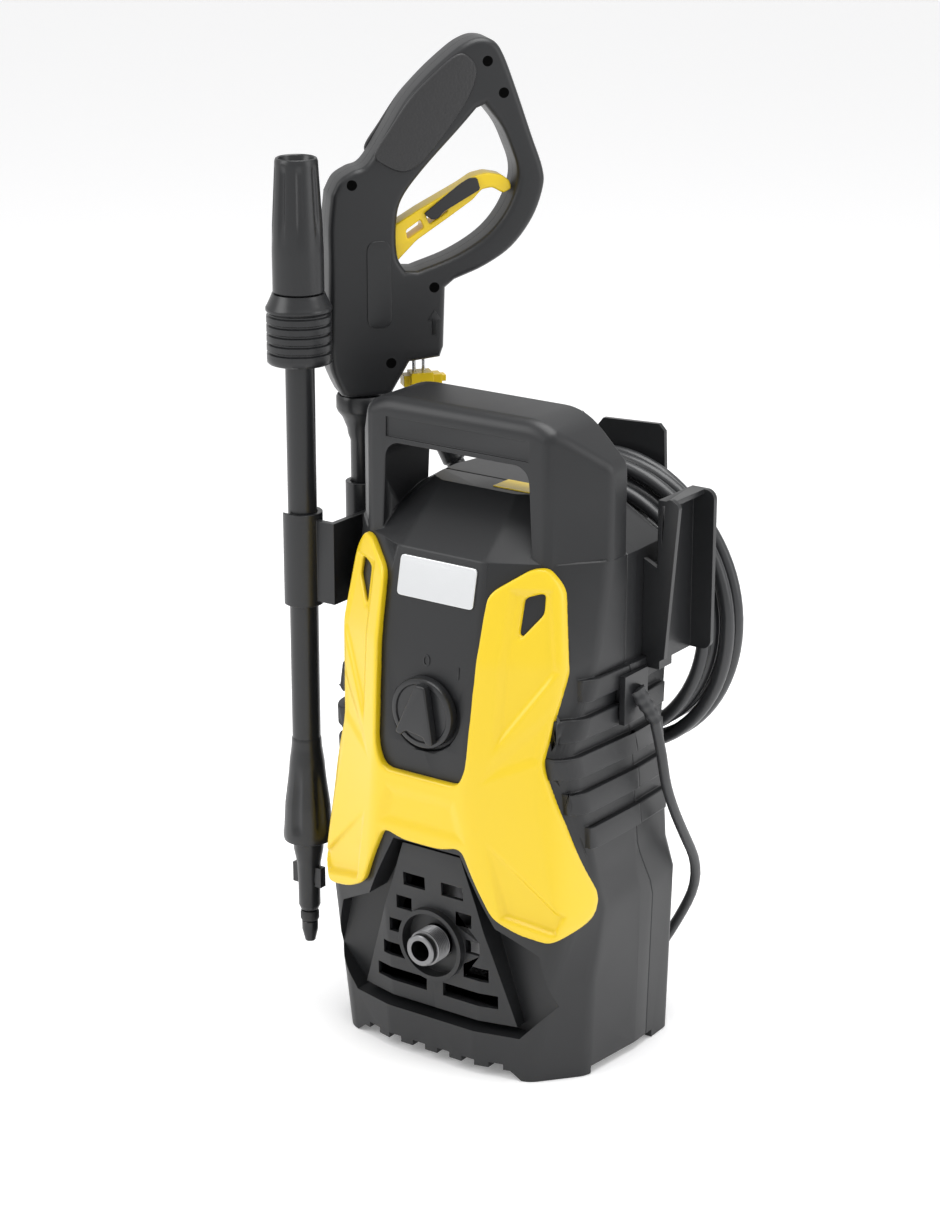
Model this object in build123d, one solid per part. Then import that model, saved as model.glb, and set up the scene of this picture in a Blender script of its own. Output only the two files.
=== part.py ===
"""Compact electric pressure washer with spray gun, lance and coiled high-pressure hose.

Millimetres, +Z up, front towards -Y, origin on the floor under the middle of the base.
"""
from build123d import *
import math
import os

os.makedirs("parts", exist_ok=True)

# ---------------------------------------------------------------- driving dimensions
HALF_WIDTH = 95.0          # base, centre to side
FRONT = 66.0               # centre to the most forward skin, at the waist
REAR = 66.0                # centre to the back of the base
WALL = 2.8                 # moulded shell wall
TRIM_T = 4.0               # thickness of the front trim
FIT = 0.4                  # clearance between pieces of different bodies
SHOULDER_Z = 108.0         # top of the wide base
WAIST_Z = 205.0
CHEST_Z = 262.0
EAVES_Z = 318.0            # where the sloping roof starts
ROOF_Z = 349.0
HANDLE_Z = 401.0           # top of the carrying handle
HANDLE_HALF = 88.0         # handle post, centre to outside
HANDLE_FRONT = -33.0
HANDLE_SHOULDER = 34.0       # rounding between the bar and its sloping ends
HANDLE_CORNER = 12.0         # rounding between a sloping end and its post
HANDLE_EDGE = 9.0            # rounding along the front of the bar and posts
OPEN_CORNER = 10.0           # rounding of the opening's upper corners
HANDLE_BACK = 12.0
OPEN_HALF_LOW = 54.0       # hand opening, half width at the sill
OPEN_HALF_TOP = 50.0
OPEN_TOP_Z = 374.0
SILL_Z = 333.0

KNOB_Z = 226.0
KNOB_R = 21.5
KNOB_FACE_Y = -(FRONT + 8.0)
KNOB_STEM_R = 4.5
SWITCH_Y = (-FRONT + 8.2, -35.0)    # rotary switch, front and back
OUTLET_Z = 76.0
OUTLET_R = 11.0            # M22 thread
OUTLET_TIP_Y = -71.0
OUTLET_THREAD = 13.0       # length of the full thread
POCKET_R = 20.0
INLET_Z = 62.0
INLET_X = 40.0
INLET_R = 13.2             # G3/4 thread

FOOT_H = 9.0               # arches under the base
SLOT_Z = 47.0              # lowest row of cooling slots
SLOT_PITCH = 16.5
SLOT_H = 8.5
HOOK_Y = (30.0, 68.0)      # cable hook, front and back
HOOK_REACH = 17.0            # from the flank out to the end of the hook
HOOK_OUT = HALF_WIDTH + HOOK_REACH
HOOK_ROUND = 6.0             # rounding of the hook's outer corners

MOTOR_Y = 8.0              # motor and pump axis
STATOR_R = 41.0
STATOR_Z = (176.0, 246.0)
BEARING_R = 11.0
ARMATURE_R = 24.0
SHAFT_R = 5.0
SWASH_Z = 126.0
SWASH_R = 26.0
SWASH_TILT = 9.0
PISTON_RING_R = 17.0
PISTON_R = 6.0
PUMP_HEAD_Z = (52.0, 92.0)
PUMP_R = 34.0
PORT_R = 8.0

LANCE_OUT = 24.0             # from the flank out to the lance's axis
LANCE_X, LANCE_Y = -(HALF_WIDTH + LANCE_OUT), -25.0
LANCE_TUBE_R = 8.8
GUN_OUT = 18.0               # from the flank out to the gun's axis
GUN_X, GUN_Y = -(HALF_WIDTH + GUN_OUT), 26.5
GUN_TURN = 50.0            # plan angle of the gun's own plane
GUN_HALF_T = 14.0
GUN_WALL = 2.4
TRIGGER_PIVOT = (17.0, 468.0)
GUN_TUBE_R = 6.6
PIN_R = 2.5                # trigger pin
VALVE_R = 9.0
CLIP_RODS = (33.5, 39.5)
GUN_SCREWS = ((76, 581), (86, 562), (-7, 511), (43, 447), (16, 402))
SLEEVE_WALL = 3.0
SLEEVE_Z = (260.0, 318.0)

HOSE_R = 4.3
HOSE_COIL_X, HOSE_COIL_Z = 20.0, 254.0
HOSE_COIL_Y = (76.0, 116.0)
HOSE_COIL_OUT, HOSE_COIL_IN = 96.0, 70.0
CORD_R = 3.2
GLAND_Y, GLAND_Z = 15.0, 232.0
COIL_X, COIL_Y = -28.0, 130.0    # mains cord put away on the floor behind
COIL_R = 37.0              # mean radius of its turns
COIL_BAND = 13.0           # either side of the mean radius
COIL_H = 36.0


def save(name, *solids):
    """Write one node, a single solid or a group of separate ones."""
    shape = solids[0] if len(solids) == 1 else Compound(children=list(solids))
    shape.label = name
    export_step(shape, f"parts/{name}.step")


def slab(points, y0, y1):
    """Prism of an XZ outline between two depths."""
    face = Plane.XZ * make_face(Polyline(*points, close=True))
    return Pos(0, y1, 0) * extrude(face, amount=y1 - y0)


def cyl(radius, z0, z1, x=0.0, y=0.0):
    """Upright cylinder between two heights."""
    return Pos(x, y, (z0 + z1) / 2) * Cylinder(radius, z1 - z0)


def tube_y(radius, y0, y1, x, z):
    """Cylinder along Y between two depths."""
    return Pos(x, (y0 + y1) / 2, z) * (Rot(90, 0, 0) * Cylinder(radius, y1 - y0))


def block(x0, x1, y0, y1, z0, z1):
    """Box between its faces."""
    return Pos((x0 + x1) / 2, (y0 + y1) / 2, (z0 + z1) / 2) * Box(x1 - x0, y1 - y0, z1 - z0)


def turned(profile, x=0.0, y=0.0):
    """Solid of revolution about an upright axis from (radius, height) points."""
    face = Plane.XZ * make_face(Polyline(*profile, close=True))
    return Pos(x, y, 0) * revolve(face, Axis.Z)


# ---------------------------------------------------------------- body shells
# height, front y, edge x, edge y, crease x, crease y, side x, rear y: each as an inset
# from HALF_WIDTH, FRONT and REAR
STATIONS = [
    (0.0, 6.0, 29.0, 15.0, 6.0, 42.0, 2.0, 2.0),
    (60.0, 5.0, 20.0, 15.0, 3.0, 42.0, 1.0, 1.0),
    (SHOULDER_Z, 4.0, 8.0, 20.0, 0.0, 50.0, 0.0, 0.0),
    (SHOULDER_Z + 20, 2.5, 11.0, 20.0, 3.0, 46.0, 4.0, 3.0),
    (WAIST_Z, 0.0, 26.0, 21.0, 13.0, 27.0, 9.0, 3.0),
    (CHEST_Z, 7.0, 17.0, 31.0, 8.0, 50.0, 7.0, 1.0),
    (300.0, 14.0, 24.0, 35.0, 7.0, 58.0, 7.0, 1.0),
    (EAVES_Z, 18.0, 28.0, 37.0, 7.0, 61.0, 7.0, 5.0),
]
REAR_CORNER = 7.0          # rounding of the plan's rear corners
FRONT_CORNER = 16.0        # rounding of its front corners
SEAM = [(-5, 35), (98, 37), (135, 25), (197, 23), (252, 12), (420, 12)]


def drawn_in(points, inset):
    """The same polygon with every side moved inwards by an even amount."""
    count = len(points)
    area = sum(points[i - 1][0] * points[i][1] - points[i][0] * points[i - 1][1]
               for i in range(count))
    turn = 1 if area > 0 else -1
    lines = []
    for i in range(count):
        (x0, y0), (x1, y1) = points[i - 1], points[i]
        length = math.hypot(x1 - x0, y1 - y0)
        nx, ny = -turn * (y1 - y0) / length, turn * (x1 - x0) / length
        lines.append((nx, ny, nx * x0 + ny * y0 + inset))
    moved = []
    for i in range(count):
        a0, b0, c0 = lines[i]
        a1, b1, c1 = lines[(i + 1) % count]
        det = a0 * b1 - a1 * b0
        moved.append(((c0 * b1 - c1 * b0) / det, (a0 * c1 - a1 * c0) / det))
    return moved


def section(half, z, inset, corner):
    """Level face from one half of its outline, mirrored, drawn in and rounded."""
    points = half + [(-x, y) for x, y in reversed(half)]
    face = make_face(Polyline(*drawn_in(points, inset), close=True))
    rear = [v for v in face.vertices() if v.Y > 10]
    face = fillet(rear, max(REAR_CORNER - inset, 1.0))
    front = [v for v in face.vertices() if v.Y < 10]
    return Pos(0, 0, z) * fillet(front, max(corner - inset, 1.0))


def plan(station, inset):
    """Plan section of the body at one height, drawn in by an even inset."""
    z, front, edge_x, edge_y, crease_x, crease_y, side, rear = station
    yf = -FRONT + front
    ye = -FRONT + edge_y
    yc = -FRONT + crease_y
    xe, xc, xs = HALF_WIDTH - edge_x, HALF_WIDTH - crease_x, HALF_WIDTH - side
    yr = REAR - rear
    half = [(xe * 0.45, yf), (xe, ye), (xc, yc), (xs + 1.0, 22.0), (xs, yr)]
    return section(half, z, inset, FRONT_CORNER)


def roof_plan(inset):
    """Flat top of the roof."""
    half = [(26.0, -10.0), (36.0, -4.0), (39.0, 8.0), (40.0, 24.0), (34.0, 58.0)]
    return section(half, ROOF_Z - inset, inset, REAR_CORNER)


def body_solid(inset):
    """The whole body without its handle, drawn in by an even inset."""
    sections = [plan(s, inset) for s in STATIONS]
    lower = loft(sections, ruled=True)
    roof = loft([sections[-1], roof_plan(inset)], ruled=True)
    return lower + roof


def handle_frame(inset):
    """Carrying arch: a rounded outline in elevation, its front corners cut back and eased."""
    x, t = HANDLE_HALF - inset, HANDLE_Z - inset
    low, top = OPEN_HALF_LOW + inset, OPEN_HALF_TOP + inset
    half = [(x, 296), (x, t - 28), (x - 28, t)]
    outer = make_face(Polyline(*half, *[(-a, b) for a, b in reversed(half)], close=True))
    outer = fillet([v for v in outer.vertices() if v.Y > t - 1], HANDLE_SHOULDER - inset)
    outer = fillet([v for v in outer.vertices() if abs(v.Y - t + 28) < 0.5],
                   HANDLE_CORNER - inset)
    inner = make_face(Polyline((-low, SILL_Z - 40), (-top, OPEN_TOP_Z + inset),
                               (top, OPEN_TOP_Z + inset), (low, SILL_Z - 40), close=True))
    inner = fillet([v for v in inner.vertices() if v.Y > OPEN_TOP_Z - 1], OPEN_CORNER + inset)
    y0, y1 = HANDLE_FRONT + inset, HANDLE_BACK
    frame = (Pos(0, y1, 0) * extrude(Plane.XZ * outer, amount=y1 - y0)
             - Pos(0, y1 + 5, 0) * extrude(Plane.XZ * inner, amount=y1 - y0 + 10))
    for side in (-1, 1):
        cut = make_face(Polyline((side * (62 - inset), y0 - 1), (side * (x + 4), y0 - 1),
                                 (side * (x + 4), -3 + inset * 1.4), (side * x, -3 + inset * 1.4),
                                 close=True))
        frame -= Pos(0, 0, 280) * extrude(cut, amount=160)
    bounds = [(e, e.bounding_box()) for e in frame.edges() if e.center().Z > 300]
    front = [e for e, box in bounds if abs(box.max.Y - y0) < 0.01
             and (e.center().Z > OPEN_TOP_Z + 6 or abs(e.center().X) > 58)]
    facets = [e for e, box in bounds if box.min.Y > y0 + 0.5 and box.max.Y < y1 - 1]
    return fillet(front + facets, HANDLE_EDGE - inset)


def seam_side(front):
    """Half space in front of or behind the stepped joint line of the two shells."""
    far = -150 if front else 190
    outline = [(y, z) for z, y in SEAM] + [(far, 420), (far, -5)]
    face = Plane.YZ * make_face(Polyline(*outline, close=True))
    return Pos(-150, 0, 0) * extrude(face, amount=300)


RIB_Z = [155.0, 177.5, 200.0, 222.5, 245.0]
RIB_FRONT = [-27.0, -38.0, -45.0, -42.0, -28.0]
RIB_REAR = 54.0
RIB_H = 13.0
RIB_PROUD = 3.8


def side_ribs(outer):
    """Stepped grip ribs on both flanks, standing a little proud of the skin."""
    skin = loft([plan(s, -RIB_PROUD) for s in STATIONS[2:7]], ruled=True)
    ribs = []
    for z, y0 in zip(RIB_Z, RIB_FRONT):
        ribs.append(block(60, 120, y0, RIB_REAR, z - RIB_H / 2, z + RIB_H / 2))
        ribs.append(block(-120, -60, y0, RIB_REAR, z - RIB_H / 2, z + RIB_H / 2))
    band = ribs[0]
    for rib in ribs[1:]:
        band = band + rib
    return (skin & band) - outer


LIP = [(-60, 28), (60, 28), (80, 50), (72, 84), (46, 98), (24, 141), (-24, 141),
       (-46, 98), (-72, 84), (-80, 50)]
PANEL = [(-56, 33), (56, 33), (21, 137), (-21, 137)]
RECESS_Y = -41.0           # bottom of the sunk lower front
PANEL_SUNK = 5.0           # the panel's face behind the skin


def recess_tool():
    """Cutter for the sunk lower front, leaving the panel round the outlet standing."""
    return slab(LIP, -90, RECESS_Y) - slab(PANEL, -91, RECESS_Y + 1)


def recess_walls(outer):
    """The walls and bottom of the sunk lower front, and the hollow panel in its middle."""
    walls = slab(drawn_in(LIP, -WALL), -90, RECESS_Y + WALL) & outer
    room = body_solid(PANEL_SUNK + WALL)
    hollow = slab(drawn_in(PANEL, WALL), -90, RECESS_Y + WALL + 1) & room
    return walls - recess_tool() - hollow


def slot_tools():
    """Cooling slots in the panel, shorter towards the top, clear of the outlet's pocket."""
    slots = []
    clear = POCKET_R + 3
    for row in range(5):
        z = SLOT_Z + row * SLOT_PITCH
        end = 49.0 - (z - 33.0) * 0.34
        near = abs(z - OUTLET_Z) - SLOT_H / 2
        start = max(6.0, math.sqrt(clear ** 2 - near ** 2)) if near < clear else 6.0
        for side in (-1, 1):
            x0, x1 = sorted((side * start, side * end))
            slots.append(block(x0, x1, -90, RECESS_Y - 4, z - SLOT_H / 2, z + SLOT_H / 2))
    return slots


def base_notches():
    """Arches under the base between four corner feet, and teeth along the front one."""
    cuts = [block(-60, 60, 20, 100, -1, FOOT_H), block(70, 120, -20, 42, -1, FOOT_H * 0.55),
            block(-120, -70, -20, 42, -1, FOOT_H * 0.55)]
    arch = slab([(-62, -1), (62, -1), (54, FOOT_H * 0.6), (-54, FOOT_H * 0.6)], -90, -40)
    cuts.append(arch)
    for i in range(6):
        x = -45 + i * 18
        cuts.append(block(x - 4.5, x + 4.5, -90, -48, -1, FOOT_H))
    return cuts


def build_shells():
    """Front shell with its carrying handle, rear shell, and the outlines they share."""
    outer = body_solid(0)
    inner = body_solid(WALL) - block(-100, 100, -100, 100, -1, FOOT_H + WALL)
    handle = handle_frame(0)
    hollow = outer - inner
    hollow += recess_walls(outer)
    hollow -= recess_tool()
    hollow -= slab(LIP, -90, RECESS_Y) - body_solid(PANEL_SUNK)
    cup_back = -FRONT + 16.0
    cup = tube_y(POCKET_R + WALL, -70, cup_back, 0, OUTLET_Z) & outer
    hollow = hollow + cup - tube_y(POCKET_R, -90, cup_back - WALL, 0, OUTLET_Z)
    hollow -= tube_y(OUTLET_R, -70, -30, 0, OUTLET_Z)
    seat_y = -FRONT + 4.0
    seat = tube_y(KNOB_R + 5, -90, seat_y + WALL, 0, KNOB_Z) & outer
    hollow = hollow + seat - tube_y(KNOB_R + 2.5, -90, seat_y, 0, KNOB_Z)
    hollow -= tube_y(KNOB_STEM_R + 0.08, -80, -40, 0, KNOB_Z)
    for cut in slot_tools() + base_notches():
        hollow -= cut
    hollow += side_ribs(outer)
    core = handle_frame(WALL) & block(-100, 100, -100, HANDLE_BACK + 1, 290, 420)
    arch = handle - core - inner
    hollow -= core & block(-100, 100, -60, HANDLE_BACK + 1, SILL_Z - 30, 420)
    front = (hollow & seam_side(True)) + arch
    grip = block(-OPEN_HALF_TOP, OPEN_HALF_TOP, HANDLE_FRONT - 3, HANDLE_FRONT + 1.5, 377, 389)
    front -= grip
    rear = (hollow & seam_side(False)) - handle
    hole = block(HALF_WIDTH - 20, HALF_WIDTH + 10, GLAND_Y - 9, GLAND_Y + 9,
                 GLAND_Z - 13, GLAND_Z + 13)
    front -= hole
    rear -= hole
    rear -= tube_y(INLET_R, 40, 90, INLET_X, INLET_Z)
    return largest(front), largest(rear), outer, handle, core


def largest(shape):
    """The main solid of a boolean result, without stray slivers."""
    return max(shape.solids(), key=lambda s: s.volume)


# ---------------------------------------------------------------- front of the body
TRIM_HALF = [(0, 142), (12, 144), (28, 148), (47, 106), (62, 97), (80, 94), (92, 104),
             (93, 117), (81, 165), (70, 203), (79, 258), (72, 308), (64, 317), (56, 316),
             (36, 301), (32, 197), (24, 186), (0, 182)]
WINDOW = [(54, 300), (64, 304), (65, 290), (53, 273)]


def skin_piece(outline_tool, thickness, outer):
    """What an outline keeps of an even layer laid on the body's skin."""
    layer = loft([plan(s, -thickness) for s in STATIONS], ruled=True)
    return (layer & outline_tool) - outer


def front_trim(outer):
    """Hourglass trim on the front, with a window in each arm."""
    left = [(-x, z) for x, z in reversed(TRIM_HALF[1:-1])]
    tool = slab(TRIM_HALF + left, -100, -8)
    tool -= slab(WINDOW, -100, 0) + slab([(-x, z) for x, z in WINDOW], -100, 0)
    tool -= tube_y(KNOB_R + 3, -100, 0, 0, KNOB_Z)
    return largest(skin_piece(tool, TRIM_T, outer))


def name_plate(outer):
    """Plain metal plate above the switch."""
    tool = slab([(-27, 290), (27, 290), (27, 314), (-27, 314)], -100, -20)
    return largest(skin_piece(tool, 1.0, outer))


def switch_knob():
    """Round knob with a raised pointer, and its stem into the switch."""
    back = -FRONT + 4.0 - FIT
    disc = tube_y(KNOB_R, KNOB_FACE_Y + 5, back, 0, KNOB_Z)
    pointer = slab([(-14, KNOB_Z - 14), (-3.5, KNOB_Z + 17), (3.5, KNOB_Z + 17),
                    (14, KNOB_Z - 14), (8, KNOB_Z - 12), (0, KNOB_Z - 10), (-8, KNOB_Z - 12)],
                   KNOB_FACE_Y, KNOB_FACE_Y + 6)
    stem = tube_y(KNOB_STEM_R, back - 1, SWITCH_Y[0] + 8, 0, KNOB_Z)
    return disc + pointer + stem


def rotary_switch():
    """Mains switch behind the knob, bored for the knob's stem."""
    y0, y1 = SWITCH_Y
    body = block(-17, 17, y0, y1, KNOB_Z - 17, KNOB_Z + 17)
    return body - tube_y(KNOB_STEM_R + 0.08, y0 - 1, y0 + 8 + FIT, 0, KNOB_Z)


def outlet():
    """Threaded high-pressure outlet stub, a tube with a hexagon behind the panel."""
    tip = OUTLET_TIP_Y
    back = MOTOR_Y - PUMP_R
    stub = tube_y(OUTLET_R - 1.2, tip, tip + 5, 0, OUTLET_Z)
    stub += tube_y(OUTLET_R - 0.1, tip + 5, tip + 5 + OUTLET_THREAD, 0, OUTLET_Z)
    stub += tube_y(OUTLET_R - 1, tip + 5 + OUTLET_THREAD, back, 0, OUTLET_Z)
    return stub - tube_y(6.5, tip - 1, back + 1, 0, OUTLET_Z)


# ---------------------------------------------------------------- fittings on the body


def cable_hook():
    """Channel on the right flank for winding the mains cord, joined by an arm."""
    y0, y1 = HOOK_Y
    t = 3.5
    flank = HALF_WIDTH - 7.0
    arm = slab([(flank, 242), (HOOK_OUT - 8, 252), (HOOK_OUT, 346), (HOOK_OUT - 9, 352),
                (HOOK_OUT - 12, 306), (flank, 312)], y0, y0 + t)
    arm = fillet([e for e in arm.edges().filter_by(Axis.Y) if e.center().X > HOOK_OUT - 10
                  and e.center().Z > 340], HOOK_ROUND * 0.6)
    web = block(HOOK_OUT - 14, HOOK_OUT - 11, y0, y1, 250, 348)
    back = slab([(HOOK_OUT - 14, 250), (HOOK_OUT + 3, 250), (HOOK_OUT + 3, 348),
                 (HOOK_OUT - 14, 348)], y1 - t, y1)
    back = fillet([e for e in back.edges().filter_by(Axis.Y) if e.center().X > HOOK_OUT],
                  HOOK_ROUND)
    cap = block(HOOK_OUT - 14, HOOK_OUT - 4, y0, y1, 345, 348)
    root = block(flank, HOOK_OUT - 11, y0, y0 + 14, 245, 306)
    root -= block(flank - 1, HOOK_OUT - 12, y0 + t, y0 + 14 - t, 244, 307)
    return arm + web + back + cap + root


def accessory_holder():
    """Bracket on the left flank: an open sleeve for the lance, a closed one for the gun."""
    z0, z1 = SLEEVE_Z
    bore = LANCE_TUBE_R + FIT
    lance = cyl(bore + SLEEVE_WALL, z0, z1, LANCE_X, LANCE_Y)
    lance -= cyl(bore, z0 - 1, z1 + 1, LANCE_X, LANCE_Y)
    lance -= block(LANCE_X - 30, LANCE_X, LANCE_Y - bore, LANCE_Y + bore, z0 - 1, z1 + 1)
    gun_bore = GUN_TUBE_R + FIT
    gun = cyl(gun_bore + SLEEVE_WALL, z0, z1 + 8, GUN_X, GUN_Y)
    leg_x = -HALF_WIDTH + 1.0
    leg = block(LANCE_X + bore + 1, leg_x, LANCE_Y - 2, LANCE_Y + 2, z0 + 3, z1 - 4)
    back = block(leg_x - 4, leg_x, LANCE_Y - 2, GUN_Y + 8, z0 + 3, z1 - 4)
    pads = block(leg_x - 1, -HALF_WIDTH + 7.0, 2, GUN_Y + 8, z0 + 3, z1 - 4)
    whole = lance + leg + back + pads + gun + block(GUN_X, leg_x - 1, GUN_Y - 4, GUN_Y + 4,
                                                    z0 + 3, z1 - 4)
    return whole - cyl(gun_bore, z0 + 4, z1 + 20, GUN_X, GUN_Y)


def hose_saddle():
    """Curved shelf at the top of the back for the hose, with a retaining tab at its end."""
    y1 = HOSE_COIL_Y[1] + 8
    back = REAR - 6.0
    top = HOSE_COIL_IN - FIT
    arc = tube_y(top, back, y1, HOSE_COIL_X, HOSE_COIL_Z)
    arc -= tube_y(top - 4, back - 1, y1 + 1, HOSE_COIL_X, HOSE_COIL_Z)
    arc = arc & block(HOSE_COIL_X - 34, HOSE_COIL_X + 34, back, y1, HOSE_COIL_Z + 10, 400)
    z = HOSE_COIL_Z + top - 3
    for x in (HOSE_COIL_X - 26, HOSE_COIL_X - 1.5, HOSE_COIL_X + 23):
        arc += block(x, x + 3, back, y1 - 2, z - 20, z - 10 + 3)
    x0 = HOSE_COIL_X - 28
    tab = slab([(x0, z - 14), (x0 + 56, z - 14), (x0 + 54, z + 40), (x0 + 50, z + 44),
                (x0 + 10, z + 42), (x0 + 2, z + 32)], y1 - 3, y1)
    return arc + tab


def cord_gland():
    """Plate with a tapered sleeve that holds the mains cord where it leaves."""
    x = HALF_WIDTH - 4.0
    y, z = GLAND_Y, GLAND_Z
    plate = block(x, x + 4, y - 12.5, y + 12.5, z - 15, z + 15)
    neck = block(x - 8, x, y - 9, y + 9, z - 13, z + 13)
    return plate + neck


def water_inlet():
    """Garden-hose inlet with its thread, low on the back."""
    body = tube_y(INLET_R - 0.1, REAR - 14, REAR + 16, INLET_X, INLET_Z)
    body += tube_y(INLET_R + 3, REAR, REAR + 3, INLET_X, INLET_Z)
    body += tube_y(PORT_R, MOTOR_Y + 20, REAR - 14, INLET_X - 18, INLET_Z)
    body += block(INLET_X - 26, INLET_X + 8, REAR - 20, REAR - 12, INLET_Z - 8, INLET_Z + 8)
    return body - tube_y(9, REAR - 8, REAR + 17, INLET_X, INLET_Z)


def inlet_strainer():
    """Cone strainer that drops into the inlet."""
    cup = tube_y(8.8, REAR - 7, REAR + 8, INLET_X, INLET_Z)
    return cup - tube_y(7.4, REAR - 5, REAR + 9, INLET_X, INLET_Z)


def shell_screws():
    """Screws that hold the two shells together, in the back."""
    screws = []
    for x, z in [(-80, 20), (80, 20), (-78, 120), (78, 120), (-76, 290), (76, 290)]:
        shank = tube_y(2.0, REAR - 25, REAR - 4, x, z)
        screws.append(tube_y(3.8, REAR - 4, REAR - 1.5, x, z) + shank)
    return screws


# ---------------------------------------------------------------- motor and pump
def motor_stator():
    """Laminated ring round the armature."""
    ring = cyl(STATOR_R, *STATOR_Z, 0, MOTOR_Y) - cyl(ARMATURE_R + 1, 0, 300, 0, MOTOR_Y)
    for side in (-1, 1):
        ring -= Pos(side * (STATOR_R - 0.5), MOTOR_Y, 210) * Box(9, 24, 100)
    return ring


def motor_shaft():
    """Shaft from the swash plate up to the top bearing."""
    return cyl(SHAFT_R, SWASH_Z + 8, 271, 0, MOTOR_Y)


def armature():
    """Wound core and, above it, the segment drum, both pressed on the shaft."""
    core = cyl(ARMATURE_R, 182, 240, 0, MOTOR_Y) - cyl(SHAFT_R, 170, 250, 0, MOTOR_Y)
    drum = cyl(12, 243, 257, 0, MOTOR_Y) - cyl(SHAFT_R, 230, 270, 0, MOTOR_Y)
    return [core, drum]


def cooling_fan():
    """Radial fan between the motor and the pump."""
    fan = cyl(35, 157, 159, 0, MOTOR_Y) + cyl(9, 157, 170, 0, MOTOR_Y)
    for i in range(9):
        blade = Rot(0, 0, 40 * i) * (Pos(20, 0, 164) * Box(26, 1.6, 11))
        fan += Pos(0, MOTOR_Y, 0) * blade
    return fan - cyl(SHAFT_R, 150, 175, 0, MOTOR_Y)


def swash_plate():
    """Wedge disc that turns with the shaft and pushes the pistons down."""
    disc = cyl(SWASH_R, SWASH_Z - 8, SWASH_Z + 8, 0, MOTOR_Y)
    keep = Pos(0, MOTOR_Y, SWASH_Z) * (Rot(0, SWASH_TILT, 0) * (Pos(0, 0, 25) * Box(90, 90, 50)))
    hub = cyl(SHAFT_R + 3, SWASH_Z + 8, SWASH_Z + 14, 0, MOTOR_Y)
    return (disc & keep) + hub - cyl(SHAFT_R, SWASH_Z + 8, 160, 0, MOTOR_Y)


def bearings():
    """Bottom and top bearing rings of the shaft."""
    return [cyl(BEARING_R, z, z + 7, 0, MOTOR_Y) - cyl(SHAFT_R + 0.05, z - 1, z + 8, 0, MOTOR_Y)
            for z in (146, 264)]


def motor_bracket():
    """Open cup that carries the motor on the pump housing and shields the fan."""
    cup = cyl(STATOR_R, 147, STATOR_Z[0], 0, MOTOR_Y) - cyl(STATOR_R - 3, 153, 180, 0, MOTOR_Y)
    cup -= cyl(BEARING_R, 140, 155, 0, MOTOR_Y)
    for i in range(6):
        cup -= Pos(0, MOTOR_Y, 0) * (Rot(0, 0, 60 * i + 30) * (Pos(STATOR_R, 0, 163) *
                                                              Box(16, 18, 14)))
    return cup


def motor_end_cap():
    """Cap over the brushes with the top bearing's seat."""
    z0 = STATOR_Z[1]
    cap = cyl(STATOR_R, z0, 275, 0, MOTOR_Y) - cyl(STATOR_R - 3, z0 - 1, 272, 0, MOTOR_Y)
    seat = cyl(BEARING_R + 3, 262, 273, 0, MOTOR_Y) - cyl(BEARING_R, 261, 271.2, 0, MOTOR_Y)
    return cap + seat


def carbon_brushes():
    """Two brushes against the commutator."""
    return [block(12.3, 30, MOTOR_Y - 4, MOTOR_Y + 4, 247, 254),
            block(-30, -12.3, MOTOR_Y - 4, MOTOR_Y + 4, 247, 254)]


def piston_places():
    """Plan positions of the three pistons."""
    for i in range(3):
        angle = math.radians(90 + 120 * i)
        yield PISTON_RING_R * math.cos(angle), MOTOR_Y + PISTON_RING_R * math.sin(angle)


def pistons():
    """Three plungers at the bottom of their stroke."""
    return [cyl(PISTON_R, 72, 118, x, y) + cyl(PISTON_R + 2.2, 117, 120.5, x, y)
            for x, y in piston_places()]


def piston_springs():
    """Return springs round the plungers, each a simple sleeve of wire."""
    springs = []
    for x, y in piston_places():
        wire = cyl(PISTON_R + 1.8, 97, 116.5, x, y) - cyl(PISTON_R + 0.4, 96, 118, x, y)
        springs.append(wire)
    return springs


def piston_seals():
    """Lip seals at the mouths of the pump bores."""
    return [cyl(PISTON_R + 2, 88, 92, x, y) - cyl(PISTON_R + 0.05, 87, 93, x, y)
            for x, y in piston_places()]


def pump_head():
    """Block with the three bores, the suction port and the pressure port."""
    z0, z1 = PUMP_HEAD_Z
    head = cyl(PUMP_R, z0, z1, 0, MOTOR_Y)
    for x, y in piston_places():
        head -= cyl(PISTON_R + 0.05, z0 + 14, z1 + 1, x, y)
        head -= cyl(PISTON_R + 2, z1 - 4, z1 + 1, x, y)
    head -= tube_y(PORT_R, MOTOR_Y + 20, REAR, INLET_X - 18, INLET_Z)
    return head - cyl(4, z0 + 6, z0 + 15, 0, MOTOR_Y)


def pump_housing():
    """Cup round the swash plate, bolted between the pump head and the motor."""
    cup = cyl(PUMP_R, PUMP_HEAD_Z[1], 147, 0, MOTOR_Y)
    cup -= cyl(PUMP_R - 4, 97, 141, 0, MOTOR_Y)
    cup -= cyl(BEARING_R, 140, 148, 0, MOTOR_Y)
    for x, y in piston_places():
        cup -= cyl(PISTON_R + 0.4, 90, 98, x, y)
    return cup


def pump_feet():
    """Rubber mounts between the pump head and the cradle."""
    return [cyl(7, 44, PUMP_HEAD_Z[0], x, MOTOR_Y + y) for x in (-20, 20) for y in (-15, 15)]


def pump_cradle():
    """Cross plate that carries the pump on the side walls."""
    half = HALF_WIDTH - 8
    return block(-half, half, MOTOR_Y - 24, MOTOR_Y + 24, 40, 44)


def pressure_switch():
    """Switch that stops the motor when the gun is shut."""
    return block(PUMP_R, PUMP_R + 24, MOTOR_Y - 12, MOTOR_Y + 12, 100, 124)


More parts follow.
